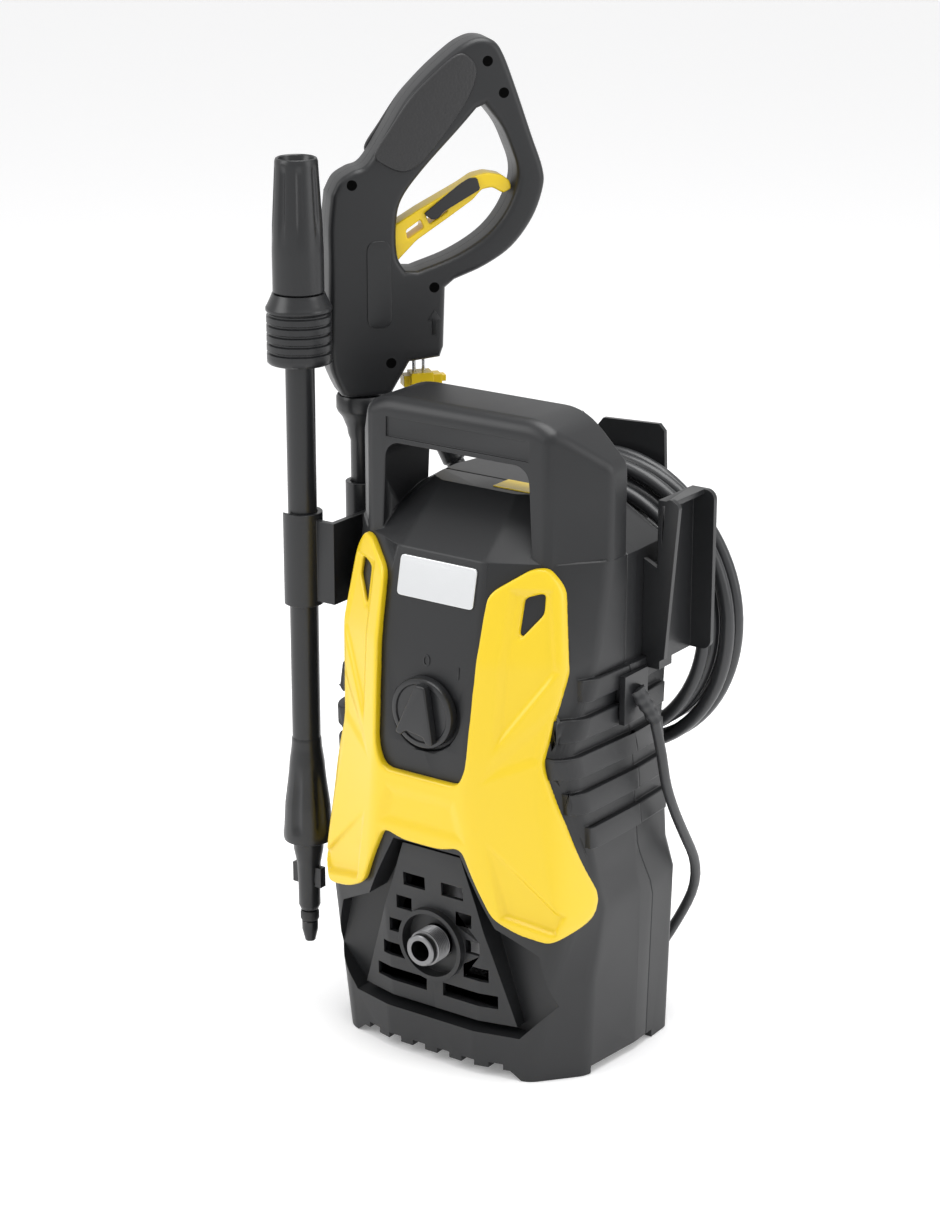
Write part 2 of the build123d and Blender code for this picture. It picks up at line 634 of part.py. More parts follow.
# ---------------------------------------------------------------- lance
def lance_tube():
    """Straight tube between the collar and the coupling."""
    return cyl(LANCE_TUBE_R, 150, 410, LANCE_X, LANCE_Y) - cyl(4, 149, 411, LANCE_X, LANCE_Y)


def lance_collar():
    """Grooved collar under the nozzle sleeve."""
    profile = [(5, 410), (19.0, 410), (19.8, 412)]
    for i in range(5):
        z = 414 + 5 * i
        profile += [(19.8, z), (19.0, z + 0.8), (19.0, z + 1.8), (19.8, z + 2.6)]
    profile += [(19.8, 441), (16.2, 450), (15.6, 452), (5, 452)]
    return turned(profile, LANCE_X, LANCE_Y)


def nozzle_sleeve():
    """Turning sleeve that sets the jet, with flutes round its upper half."""
    profile = [(10.5, 452.4), (15.3, 452.4), (15.3, 476), (14.9, 492), (12.9, 530), (12.3, 532),
               (10.6, 532), (9.8, 528), (9.6, 500), (10.5, 490)]
    sleeve = turned(profile, LANCE_X, LANCE_Y)
    for i in range(8):
        flute = Pos(16.6, 0, 0) * cyl(2.6, 494, 526)
        sleeve -= Pos(LANCE_X, LANCE_Y, 0) * (Rot(0, 0, 45 * i) * flute)
    return sleeve


def nozzle_insert():
    """Jet body inside the sleeve, carried by the collar."""
    profile = [(2, 452.4), (9, 452.4), (9, 520), (6, 526), (2, 526)]
    return turned(profile, LANCE_X, LANCE_Y)


def lance_coupling():
    """Conical hub at the lower end of the lance, with grip facets."""
    r = LANCE_TUBE_R
    hub = turned([(0.5, 104), (14.5, 104), (15.6, 107), (15.6, 110), (14.4, 128), (r + 2.4, 155),
                  (r + 0.6, 168), (r + 0.2, 172), (r, 172), (r, 150), (0.5, 150)],
                 LANCE_X, LANCE_Y)
    for i in range(6):
        cut = Pos(19.5, 0, 132) * (Rot(0, 8, 0) * Box(8, 7, 40))
        hub -= Pos(LANCE_X, LANCE_Y, 0) * (Rot(0, 0, 60 * i + 20) * cut)
    return hub


def bayonet():
    """Bayonet plug with its two lugs."""
    profile = [(0.5, 35), (3.2, 35), (5.1, 43), (5.1, 48), (4.2, 49), (4.2, 56), (5.7, 57),
               (6.9, 60), (6.9, 72), (7.5, 88), (9.4, 98), (9.4, 104), (0.5, 104)]
    plug = turned(profile, LANCE_X, LANCE_Y)
    lugs = Pos(LANCE_X, LANCE_Y, 80) * Box(22, 5, 13)
    return plug + lugs


def lance_o_ring():
    """Seal near the tip of the bayonet."""
    return turned([(4.2, 49.4), (5.9, 49.4), (5.9, 55.6), (4.2, 55.6)], LANCE_X, LANCE_Y)


# ---------------------------------------------------------------- spray gun
def gun_place(shape):
    """From the gun's own plane, tube axis at its origin, to its place on the machine."""
    return Pos(GUN_X, GUN_Y, 0) * (Rot(0, 0, GUN_TURN) * shape)


def arcs(points):
    """Arcs through every three points in turn, end to end."""
    return [ThreePointArc(*points[i:i + 3]) for i in range(0, len(points) - 2, 2)]


def gun_outline():
    """Outer outline of the gun body in its own plane."""
    top = [(-5, 519), (1, 521), (6, 526), (15, 541), (27, 560), (40, 574), (54, 586), (63, 592),
           (72, 595), (81, 592), (87, 583), (95, 562), (104, 536), (111, 516), (111.5, 504),
           (105, 486), (92, 469), (75, 458), (56, 450)]
    grip = Polyline(top[-1], (50, 444), (49, 408), (46, 402), (27, 401), (16, 381), (-14, 381))
    back = arcs([(-14, 381), (-19.5, 395), (-22, 410), (-21.5, 440), (-20.5, 465), (-21, 485),
                 (-19, 505)])
    tail = Polyline((-19, 505), (-15, 516), (-10, 521), top[0])
    return Face(Wire([*arcs(top), *grip.edges(), *back, *tail.edges()]))


def loop_outline():
    """Opening for the hand."""
    side = [(75, 555), (85, 542), (91, 529), (95.5, 516), (94, 504), (87, 489), (75, 476),
            (56, 465), (31, 456.5)]
    rest = Polyline(side[-1], (25, 460), (20.5, 486), (24, 501), (37, 518), (59, 541), side[0])
    return Face(Wire([*arcs(side), *rest.edges()]))


def gun_slab(face, y0, y1):
    """Prism across the gun's thickness, from an outline in its plane."""
    upright = Rot(90, 0, 0) * face
    return Pos(0, y1, 0) * extrude(upright, amount=y1 - y0, dir=(0, -1, 0))


def gun_shell(side):
    """One half of the gun body, a tray closed by the other half."""
    outline, opening = gun_outline(), loop_outline()
    y0, y1 = (-GUN_HALF_T, 0) if side < 0 else (0, GUN_HALF_T)
    tray = gun_slab(outline, y0, y1) - gun_slab(opening, y0 - 1, y1 + 1)
    room = offset(outline, amount=-GUN_WALL) - offset(opening, amount=GUN_WALL)
    inset = GUN_HALF_T - GUN_WALL
    hollow = gun_slab(room, *((-inset, 1) if side < 0 else (-1, inset)))
    tray -= hollow
    tray -= block(14, 44, -9, 9, 450, 508)
    tray -= cyl(VALVE_R + 0.05, 370, 390, 0, 0)
    for u in CLIP_RODS:
        tray -= cyl(1.2 + FIT, 395, 410, u, 0)
    px, pz = TRIGGER_PIVOT
    tray -= tube_y(PIN_R, -12, 12, px, pz)
    if side < 0:
        for u, z in GUN_SCREWS:
            tray -= tube_y(2.8, -GUN_HALF_T - 1, -GUN_HALF_T + 1.8, u, z)
    return tray


def grip_insert():
    """Soft pads let on to both sides of the hand grip."""
    pad = Polyline((7, 528), (24.5, 517), (36, 523), (65, 561), (69, 575), (65, 583), (56, 586),
                   (40, 572), (27, 559), (16, 541), close=True)
    face = make_face(pad)
    face = fillet(face.vertices(), 1.5)
    face = offset(face, amount=-1.0)
    t = 1.2
    return [gun_slab(face, -GUN_HALF_T - t, -GUN_HALF_T), gun_slab(face, GUN_HALF_T,
                                                                   GUN_HALF_T + t)]


def trigger():
    """Long trigger, pivoted inside the body, bored for its pin."""
    px, pz = TRIGGER_PIVOT
    lever = Polyline((px - 20, pz - 7), (px + 4, pz - 8), (27, 461), (50, 478), (78, 492),
                     (91, 503), (93, 509), (88, 514), (73, 510), (50, 496), (24, 483),
                     (px - 4, pz + 8), (px - 20, pz + 1), close=True)
    body = gun_slab(make_face(lever), -7, 7)
    body -= block(30, 62, -9, -4, 480, 486)
    return body - tube_y(PIN_R + 0.05, -9, 9, px, pz)


def trigger_lock():
    """Slide on the trigger's near side that locks it."""
    return gun_slab(make_face(Polyline((44, 494), (48, 489), (74, 503), (70, 508), close=True)),
                    -9.2, -7.3)


def trigger_pin():
    """Pin across both halves of the gun body."""
    px, pz = TRIGGER_PIVOT
    return tube_y(PIN_R, -12, 12, px, pz)


def trigger_spring():
    """Return spring under the trigger, a sleeve of wire."""
    return cyl(4.2, 438.5, 457.5, 8, 0) - cyl(3.0, 438, 458, 8, 0)


def gun_valve():
    """Valve barrel between the coupling and the trigger."""
    return cyl(VALVE_R, 381, 438, 0, 0) - cyl(3, 422, 439, 0, 0)


def valve_rod():
    """Rod that the trigger pushes down to open the valve."""
    return cyl(2.6, 428, TRIGGER_PIVOT[1] - 7.5, 0, 0)


def gun_coupling():
    """Bayonet socket and tube under the gun, which stands in the holder."""
    profile = [(2, 265), (GUN_TUBE_R, 265), (GUN_TUBE_R, 350), (8.5, 357), (13.5, 370),
               (15, 372), (15, 381), (2, 381)]
    return turned(profile)


def gun_screws():
    """Screw heads on the near half."""
    return [tube_y(2.6, -GUN_HALF_T + 0.6, -GUN_HALF_T + 1.8, u, z) for u, z in GUN_SCREWS]


def hose_clip():
    """Clip that locks the hose in the gun, drawn out on its two rods."""
    bar = block(26, 50, -5, 5, 384, 391) + block(30, 44, -8, 4, 386, 393)
    return bar + block(46, 53, -3.5, 3.5, 386, 390)


def clip_rods():
    """Steel rods of the hose clip."""
    return [cyl(1.2, 393, 430, u, 0) for u in CLIP_RODS]


# ---------------------------------------------------------------- hose and mains cord
def hose_coil():
    """Outer form of the coiled hose, a ring hanging on the saddle."""
    y0, y1 = HOSE_COIL_Y
    ring = tube_y(HOSE_COIL_OUT, y0, y1, HOSE_COIL_X, HOSE_COIL_Z)
    return ring - tube_y(HOSE_COIL_IN, y0 - 1, y1 + 1, HOSE_COIL_X, HOSE_COIL_Z)


HOSE_END_A = ((-80.0, 84.0, 324.0), (-0.45, -0.1, 0.88))    # upper end: place, direction
HOSE_END_B = ((-67.0, 90.5, 216.0), (-0.2, 0.0, -0.98))     # lower end
HOSE_TAIL = [(-68.0, 81.0, 262.0), (-73.5, 82.0, 284.0), (-77.0, 83.5, 305.0), HOSE_END_A[0]]


def hose_fitting(end, collar):
    """Straight hose end with a grip collar, standing on its end of the hose."""
    body = cyl(5.8, 0, 30) + cyl(collar, 7, 19) + cyl(4.2, 29, 36)
    place, direction = end
    return Plane(origin=place, z_dir=direction) * body


# route of the mains cord from the gland to the coil behind the base
CORD_POINTS = [
    (104.5, 19.5, 219.0), (107.5, 24.0, 197.0), (106.0, 31.0, 175.0), (105.0, 44.0, 152.0),
    (103.5, 60.0, 130.0), (102.0, 76.5, 108.0), (95.0, 88.0, 84.0), (82.0, 93.0, 60.0),
    (68.0, 95.0, 36.0), (52.0, 97.0, 16.0), (30.0, 100.0, 5.0), (8.0, 99.0, 4.2),
    (-12.0, 95.5, 4.2),
]
TAIL_POINTS = [(-55.0, 124.0, 31.0), (-54.5, 141.0, 37.0), (-46.0, 155.5, 47.0), (-30.0, 163.0, 54.0)]


def cord_path(points):
    """Straight runs joined by arcs as large as the runs allow."""
    corners = [Vector(*p) for p in points]
    radii = []
    for before, here, after in zip(corners, corners[1:], corners[2:]):
        turn = math.radians((here - before).get_angle(after - here))
        run = min((here - before).length, (after - here).length)
        radii.append(0.45 * run / math.tan(turn / 2))
    print("cord radii", [round(r) for r in radii])
    return FilletPolyline(*points, radius=radii)


def cord_tube(points, radius):
    """Round cord along its path."""
    path = cord_path(points)
    ring = Plane(origin=path @ 0, z_dir=path % 0) * Circle(radius)
    return sweep(ring, path=path)


def cord_coil():
    """Outer form of the coiled mains cord lying on the floor."""
    outer = COIL_R + COIL_BAND
    return cyl(outer, 1.0, COIL_H, COIL_X, COIL_Y) - cyl(COIL_R - COIL_BAND, 0, 60, COIL_X, COIL_Y)


def strain_relief():
    """Tapered sleeve round the cord at the gland, pointing down and back."""
    start = Vector(HALF_WIDTH, GLAND_Y, GLAND_Z + 4)
    end = Vector(*CORD_POINTS[0])
    along = end - start
    cone = Cone(4.8, CORD_R + 0.5, along.length, align=(Align.CENTER, Align.CENTER, Align.MIN))
    placed = Plane(origin=start, z_dir=along) * cone
    return placed - block(0, HALF_WIDTH, -50, 80, 150, 300)


def mains_plug():
    """Moulded two-pin plug lying on the coil."""
    x, y, z = TAIL_POINTS[-1]
    body = Pos(x + 18, y, z) * (Rot(0, 90, 0) * Cone(9, 17, 36))
    pins = [Pos(x + 44, y + dy, z) * (Rot(0, 90, 0) * Cylinder(2.4, 19)) for dy in (-9.5, 9.5)]
    return body + pins[0] + pins[1]


def top_label():
    """Plain label on the roof, behind the hand opening."""
    return block(6, 32, -4, 12, ROOF_Z, ROOF_Z + 0.6)


def build_body():
    """Everything that stays with the two shells, the internals included."""
    front, rear, outer, handle, core = build_shells()
    screws = shell_screws()
    for screw in screws:
        rear -= screw
    save("front_shell", front)
    save("rear_shell", largest(rear))
    cover = core & block(-100, 100, HANDLE_BACK - WALL, HANDLE_BACK, ROOF_Z + 1, 420)
    save("handle_cover", largest(cover))
    save("shell_screws", *screws)
    save("front_trim", largest(front_trim(outer) - front))
    save("name_plate", name_plate(outer))
    save("top_label", top_label())
    save("switch_knob", switch_knob())
    save("rotary_switch", rotary_switch())
    save("pressure_outlet", outlet() - pump_head())
    save("cable_hook", largest(cable_hook() - outer - rear))
    save("accessory_holder", largest(accessory_holder() - outer))
    save("hose_saddle", largest(hose_saddle() - outer))
    gland = largest(cord_gland() - front - rear)
    save("cord_gland", gland)
    save("water_inlet", largest(water_inlet() - rear))
    save("inlet_strainer", inlet_strainer())
    relief = strain_relief()
    coil = cord_coil()
    save("strain_relief", largest(relief - gland))
    save("cord_coil", coil)
    save("power_cord", largest(cord_tube(CORD_POINTS, CORD_R) - relief - coil),
         largest(cord_tube(TAIL_POINTS, CORD_R) - coil - mains_plug()))
    save("mains_plug", mains_plug())
    ring = hose_coil()
    save("hose_coil", ring)
    upper = hose_fitting(HOSE_END_A, 7.5)
    save("hose_ends", upper, largest(hose_fitting(HOSE_END_B, 12.5) - ring))
    save("hose_tail", largest(cord_tube(HOSE_TAIL, HOSE_R) - ring - upper))


def build_drive():
    """Motor and pump."""
    for name, piece in {
        "motor_stator": motor_stator, "motor_shaft": motor_shaft, "cooling_fan": cooling_fan,
        "swash_plate": swash_plate, "motor_bracket": motor_bracket,
        "motor_end_cap": motor_end_cap, "pump_head": pump_head, "pump_housing": pump_housing,
        "pump_cradle": pump_cradle, "pressure_switch": pressure_switch,
    }.items():
        save(name, piece())
    for name, group in {
        "armature": armature, "shaft_bearings": bearings, "carbon_brushes": carbon_brushes,
        "pistons": pistons, "piston_springs": piston_springs, "piston_seals": piston_seals,
        "pump_feet": pump_feet,
    }.items():
        save(name, *group())


def build_lance():
    """The lance, nozzle up in its holder."""
    for name, piece in {
        "lance_tube": lance_tube, "lance_collar": lance_collar, "nozzle_sleeve": nozzle_sleeve,
        "nozzle_insert": nozzle_insert, "lance_coupling": lance_coupling, "bayonet": bayonet,
        "lance_o_ring": lance_o_ring,
    }.items():
        save(name, piece())


def build_gun():
    """The spray gun, standing in the holder with its outlet down."""
    for name, piece in {
        "trigger": trigger, "trigger_lock": trigger_lock, "trigger_pin": trigger_pin,
        "trigger_spring": trigger_spring, "gun_valve": gun_valve, "valve_rod": valve_rod,
        "gun_coupling": gun_coupling, "hose_clip": hose_clip,
    }.items():
        save(name, gun_place(piece()))
    save("gun_shell_near", gun_place(largest(gun_shell(-1))))
    save("gun_shell_far", gun_place(largest(gun_shell(1))))
    save("grip_insert", *[gun_place(pad) for pad in grip_insert()])
    save("gun_screws", *[gun_place(head) for head in gun_screws()])
    save("clip_rods", *[gun_place(rod) for rod in clip_rods()])


build_body()
build_drive()
build_lance()
build_gun()
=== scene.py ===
"""Looks of a compact pressure washer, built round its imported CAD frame.

Metres, +Z up, front towards -Y. Sizes that are written in millimetres end in _MM or are passed
through mm().
"""
import math

import bmesh
import bpy
import numpy as np
from bpy.props import FloatProperty, FloatVectorProperty, PointerProperty
from mathutils import Matrix, Vector


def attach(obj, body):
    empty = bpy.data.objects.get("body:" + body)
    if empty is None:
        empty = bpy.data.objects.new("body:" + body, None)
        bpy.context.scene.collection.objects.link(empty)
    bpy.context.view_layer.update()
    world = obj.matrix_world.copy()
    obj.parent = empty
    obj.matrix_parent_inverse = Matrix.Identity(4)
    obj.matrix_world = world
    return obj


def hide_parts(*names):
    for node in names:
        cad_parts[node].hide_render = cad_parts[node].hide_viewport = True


bl_info = {
    "name": "Pressure washer",
    "version": (1, 0, 0),
    "blender": (4, 5, 0),
    "location": "View3D > Sidebar > Washer",
    "description": "Builds the looks of a compact pressure washer, piece by piece",
    "category": "Object",
}

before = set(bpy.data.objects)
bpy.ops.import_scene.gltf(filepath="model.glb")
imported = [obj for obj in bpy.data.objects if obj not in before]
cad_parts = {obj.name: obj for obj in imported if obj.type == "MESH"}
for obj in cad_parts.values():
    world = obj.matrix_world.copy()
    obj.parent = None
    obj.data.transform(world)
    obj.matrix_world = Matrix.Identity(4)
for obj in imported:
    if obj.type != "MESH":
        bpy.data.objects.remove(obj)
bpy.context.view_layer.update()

# ------------------------------------------------------------------ places, in millimetres
LANCE = (-119.0, -25.0)
GUN = (-113.0, 26.5)
GUN_TURN = math.radians(50)
GUN_HALF_T = 14.0
GUN_SCREWS = ((76, 581), (86, 562), (-7, 511), (43, 447), (16, 402))
TRIGGER_PIVOT = (17, 468)
TRIGGER_HALF_T = 7.0
PIN_BORE_R = 2.6
KNOB_Z = 226.0
KNOB_R = 21.5
KNOB_FACE_Y = -74.0
OUTLET_Z = 76.0
HOSE_X, HOSE_Z = 20.0, 254.0
CORD_R = 3.2
COIL_X, COIL_Y = -28.0, 130.0
GLAND = (95.0, 15.0, 236.0)
CORD_ROUTE = [
    (104.5, 19.5, 219.0), (107.5, 24.0, 197.0), (106.0, 31.0, 175.0), (105.0, 44.0, 152.0),
    (103.5, 60.0, 130.0), (102.0, 76.5, 108.0), (95.0, 88.0, 84.0), (82.0, 93.0, 60.0),
    (68.0, 95.0, 36.0), (52.0, 97.0, 16.0), (30.0, 100.0, 5.0),
]
CORD_TAIL = [(-55.5, 128.0, 31.0), (-55.0, 139.0, 36.0), (-51.0, 149.0, 43.0),
             (-42.0, 158.0, 50.0), (-31.0, 163.0, 54.0)]
HOSE_END = (-80.0, 84.0, 324.0)
HOSE_END_WAY = (-0.45, -0.1, 0.88)
HOSE_START = (-67.0, 90.5, 216.0)
HOSE_START_WAY = (-0.2, 0.0, -0.98)
HOSE_TAIL = [(-64.5, 80.8, 250.0), (-69.0, 80.8, 266.0), (-73.5, 82.0, 284.0),
             (-77.0, 83.5, 305.0), HOSE_END]
# the body's front: height, half width and depth of its front edge, then of its side crease
FRONT_LINES = [
    (0.0, 66.0, -51.0, 89.0, -24.0, -60.0), (60.0, 75.0, -51.0, 92.0, -24.0, -61.0),
    (108.0, 87.0, -46.0, 95.0, -16.0, -62.0), (128.0, 84.0, -46.0, 92.0, -20.0, -63.5),
    (205.0, 69.0, -45.0, 82.0, -39.0, -66.0), (262.0, 78.0, -35.0, 87.0, -16.0, -59.0),
    (300.0, 71.0, -31.0, 88.0, -8.0, -52.0), (318.0, 67.0, -29.0, 88.0, -5.0, -48.0),
]


# planes that cut the housing's mesh up: a point of each, in metres, and its direction
HOUSING_CUTS = (((0, 0, 0), (1, 0, 0)), ((0, 0, 0.353), (0, 0, 1)))

# ------------------------------------------------------------------ camera and floor
CAMERA_PLACE = (0.9587, -1.388, 0.8367)
CAMERA_TURN = math.radians(35.0)
CAMERA_DROP = math.radians(18.5)
SENSOR_MM, LENS_MM = 36.0, 88.8889
FLOOR_REACH, FLOOR_DROP, FLOOR_GLOW = 12.0, 0.0003, 0.17
WORLD_LIGHT, WORLD_SEEN = 0.80, 1.0


def mm(*values):
    """Millimetres to metres, as one number or a tuple."""
    scaled = tuple(v / 1000.0 for v in values)
    return scaled[0] if len(scaled) == 1 else scaled


# ------------------------------------------------------------------ settings
class BodyLook(bpy.types.PropertyGroup):
    """Colours and edges of the housing."""
    dark: FloatVectorProperty(name="Housing colour", description="Dark moulded plastic",
                              subtype="COLOR", default=(0.0125, 0.013, 0.0142))
    accent: FloatVectorProperty(name="Accent colour", description="Trim, trigger and clip",
                                subtype="COLOR", default=(0.74, 0.52, 0.007))
    edge: FloatProperty(name="Edge rounding", description="Rounding of moulded edges",
                        default=0.0018, min=0.0002, max=0.004, unit="LENGTH")
    grain: FloatProperty(name="Grain", description="Depth of the moulded grain",
                         default=0.10, min=0.0, max=1.0)


class CordLook(bpy.types.PropertyGroup):
    """Sizes of the hose and the mains cord."""
    hose_radius: FloatProperty(name="Hose radius", description="Outer radius of the hose",
                               default=0.0043, unit="LENGTH")
    cord_radius: FloatProperty(name="Cord radius", description="Outer radius of the mains cord",
                               default=0.0032, unit="LENGTH")


class StageLook(bpy.types.PropertyGroup):
    """Floor and lights."""
    floor: FloatVectorProperty(name="Floor colour", description="Plain pale floor",
                               subtype="COLOR", default=(0.93, 0.93, 0.935))
    key: FloatProperty(name="Key light", description="Power of the large soft light",
                       default=13.0, unit="POWER")


# ------------------------------------------------------------------ materials
def socket(shader, name, value):
    """Sets one socket of a shader."""
    shader.inputs[name].default_value = value


def finish(name, colour, roughness, metallic=0.0, coat=0.0, grain=None, specular=0.5,
           variation=0.0):
    """A plain shader, with a fine bump of the given (scale, strength) and a slight variation."""
    material = bpy.data.materials.get(name)
    if material:
        return material
    material = bpy.data.materials.new(name)
    material.use_nodes = True
    nodes, links = material.node_tree.nodes, material.node_tree.links
    shader = nodes["Principled BSDF"]
    socket(shader, "Base Color", (*colour, 1.0))
    socket(shader, "Roughness", roughness)
    socket(shader, "Metallic", metallic)
    socket(shader, "Coat Weight", coat)
    socket(shader, "Coat Roughness", 0.12)
    socket(shader, "Specular IOR Level", specular)
    material.diffuse_color = (*colour, 1.0)
    if grain:
        scale, strength = grain
        place = nodes.new("ShaderNodeTexCoord")
        noise = nodes.new("ShaderNodeTexNoise")
        bump = nodes.new("ShaderNodeBump")
        socket(noise, "Scale", scale)
        socket(noise, "Detail", 2.0)
        socket(bump, "Strength", strength)
        socket(bump, "Distance", 0.0004)
        links.new(place.outputs["Object"], noise.inputs["Vector"])
        links.new(noise.outputs["Fac"], bump.inputs["Height"])
        links.new(bump.outputs["Normal"], shader.inputs["Normal"])
    if variation:
        place = nodes.new("ShaderNodeTexCoord")
        clouds = nodes.new("ShaderNodeTexNoise")
        spread = nodes.new("ShaderNodeMapRange")
        socket(clouds, "Scale", 35.0)
        socket(clouds, "Detail", 5.0)
        socket(spread, "To Min", roughness - variation)
        socket(spread, "To Max", roughness + variation)
        links.new(place.outputs["Object"], clouds.inputs["Vector"])
        links.new(clouds.outputs["Fac"], spread.inputs["Value"])
        links.new(spread.outputs["Result"], shader.inputs["Roughness"])
    return material


def dark_plastic():
    """Satin housing plastic with a fine moulded grain."""
    look = bpy.context.scene.washer_body
    return finish("dark satin plastic", look.dark, 0.40, grain=(2600.0, look.grain),
                  specular=0.42, variation=0.03)


def dark_smooth():
    """Smoother dark plastic of knobs, lance and fittings."""
    look = bpy.context.scene.washer_body
    return finish("dark smooth plastic", look.dark, 0.31, grain=(2600.0, 0.04), specular=0.45,
                  variation=0.03)


def accent_plastic():
    """Glossy yellow of the trim, trigger and clip."""
    return finish("yellow plastic", bpy.context.scene.washer_body.accent, 0.34, coat=0.15,
                  grain=(2200.0, 0.03))


def grip_plastic():
    """Soft pebbled plastic of the hand grip."""
    return finish("pebbled soft grip", (0.016, 0.016, 0.017), 0.46, grain=(620.0, 1.0))


def black_plastic():
    """Matt black of hidden pieces and seals."""
    return finish("black inner plastic", (0.012, 0.012, 0.013), 0.55)


def cord_rubber():
    """Jacket of the mains cord, its sleeve and plug."""
    return finish("smooth cord jacket", (0.028, 0.029, 0.031), 0.42)


def hose_rubber():
    """Jacket of the high-pressure hose."""
    return finish("satin hose jacket", (0.024, 0.025, 0.027), 0.32)


def dark_metal():
    """Plated metal of the threaded outlet."""
    return finish("dark plated metal", (0.20, 0.20, 0.205), 0.30, metallic=1.0, variation=0.05)


def bright_steel():
    """Machined and drawn steel."""
    return finish("bright steel", (0.62, 0.62, 0.63), 0.24, metallic=1.0)


def cast_metal():
    """Cast pump and valve bodies."""
    return finish("cast metal", (0.45, 0.45, 0.46), 0.45, metallic=1.0, grain=(700.0, 0.2))


def core_metal():
    """Laminated core of the motor."""
    return finish("laminated core", (0.16, 0.16, 0.17), 0.5, metallic=0.9)


def painted_well_shade():
    """Painted shade: a near-black, almost unreflecting colour for the shadow deep in the sunk screw
    wells.
    """
    return finish("painted shade in screw wells", (0.002, 0.002, 0.002), 0.9, specular=0.02)


def brushed_plate():
    """Silver plate, its brush marks fine noise drawn out along the plate's width."""
    material = finish("brushed silver plate", (0.72, 0.73, 0.74), 0.32, metallic=1.0)
    nodes, links = material.node_tree.nodes, material.node_tree.links
    if "Mapping" not in nodes:
        place = nodes.new("ShaderNodeTexCoord")
        mapping = nodes.new("ShaderNodeMapping")
        noise = nodes.new("ShaderNodeTexNoise")
        bump = nodes.new("ShaderNodeBump")
        mapping.inputs["Scale"].default_value = (30.0, 3000.0, 3000.0)
        socket(noise, "Scale", 1.0)
        socket(bump, "Strength", 0.15)
        socket(bump, "Distance", 0.0002)
        links.new(place.outputs["Object"], mapping.inputs["Vector"])
        links.new(mapping.outputs["Vector"], noise.inputs["Vector"])
        links.new(noise.outputs["Fac"], bump.inputs["Height"])
        links.new(bump.outputs["Normal"], nodes["Principled BSDF"].inputs["Normal"])
    return material


# ------------------------------------------------------------------ making pieces
def add_piece(name, mesh, material, body, replaced=(), smooth=35.0):
    """Links a mesh as a piece, with its material and body, and hides the nodes it stands for."""
    piece = bpy.data.objects.new(name, mesh)
    bpy.context.scene.collection.objects.link(piece)
    mesh.materials.clear()
    mesh.materials.append(material)
    mesh.shade_smooth()
    mesh.set_sharp_from_angle(angle=math.radians(smooth))
    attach(piece, body)
    if replaced:
        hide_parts(*replaced)
    return piece


def tidy_mesh(mesh):
    """Merges doubles and turns the faces outwards."""
    work = bmesh.new()
    work.from_mesh(mesh)
    bmesh.ops.remove_doubles(work, verts=work.verts, dist=2e-6)
    bmesh.ops.dissolve_degenerate(work, edges=work.edges, dist=1e-6)
    bmesh.ops.recalc_face_normals(work, faces=work.faces)
    work.to_mesh(mesh)
    work.free()
    return mesh


def grid_mesh(name, points, closed_u=False, closed_v=False):
    """Quads over a grid of points of shape (rows, columns, 3), in metres."""
    rows, columns = points.shape[:2]
    index = np.arange(rows * columns).reshape(rows, columns)
    below = np.roll(index, -1, 0) if closed_u else index[1:]
    here = index if closed_u else index[:-1]
    if closed_v:
        quads = np.stack([here, np.roll(here, -1, 1), np.roll(below, -1, 1), below], -1)
    else:
        quads = np.stack([here[:, :-1], here[:, 1:], below[:, 1:], below[:, :-1]], -1)
    mesh = bpy.data.meshes.new(name)
    mesh.from_pydata(points.reshape(-1, 3), [], quads.reshape(-1, 4))
    return tidy_mesh(mesh)


def lathe(name, profile, centre, segments=96, wave=None, axis="z"):
    """Surface of revolution: each (radius, height) of the profile turned about an axis.

    wave(angle, height) multiplies the radius, for flutes and ribs. The first and last points of
    the profile have radius 0, or are equal, so that the surface is closed.
    """
    profile = np.array(profile, float) / 1000.0
    angle = np.linspace(0, 2 * np.pi, segments, endpoint=False)
    radius, height = np.meshgrid(profile[:, 0], angle, indexing="ij")[0], profile[:, 1:2]
    if wave is not None:
        radius = radius * wave(angle[None, :], height * 1000.0)
    across, along = radius * np.cos(angle), radius * np.sin(angle)
    height = np.broadcast_to(height, radius.shape)
    if axis == "z":
        points = np.stack([across, along, height], -1)
    else:
        points = np.stack([across, height, along], -1)
    return grid_mesh(name, points + np.array(centre) / 1000.0, closed_v=True)


def oval(x, z, half_x, half_z):
    """Closed outline (x, z) of an ellipse about a place, by its two half widths."""
    turn = np.linspace(0, 2 * np.pi, 24, endpoint=False)
    return np.stack([x + half_x * np.cos(turn), z + half_z * np.sin(turn)], -1)


def fine(profile, step=1.0):
    """The same profile with points added so that no stretch is longer than the step."""
    profile = np.array(profile, float)
    run = np.hypot(*np.diff(profile, axis=0).T)
    counts = np.maximum(1, np.ceil(run / step).astype(int))
    parts = [np.linspace(a, b, n, endpoint=False)
             for a, b, n in zip(profile[:-1], profile[1:], counts)]
    return np.vstack(parts + [profile[-1:]])


def smooth_line(points, per=8, closed=False):
    """Smooth line through the points: a Catmull-Rom spline, each span a cubic of its parameter."""
    points = np.array(points, float)
    if closed:
        padded = np.vstack([points[-1:], points, points[:2]])
    else:
        padded = np.vstack([2 * points[:1] - points[1:2], points, 2 * points[-1:] - points[-2:-1]])
    t = np.linspace(0, 1, per, endpoint=False)[None, :, None]
    a, b, c, d = (padded[i:len(padded) - 3 + i][:, None, :] for i in range(4))
    spans = 0.5 * (2 * b + (c - a) * t + (2 * a - 5 * b + 4 * c - d) * t ** 2
                   + (3 * b - a - 3 * c + d) * t ** 3)
    line = spans.reshape(-1, points.shape[1])
    return line if closed else np.vstack([line, points[-1:]])


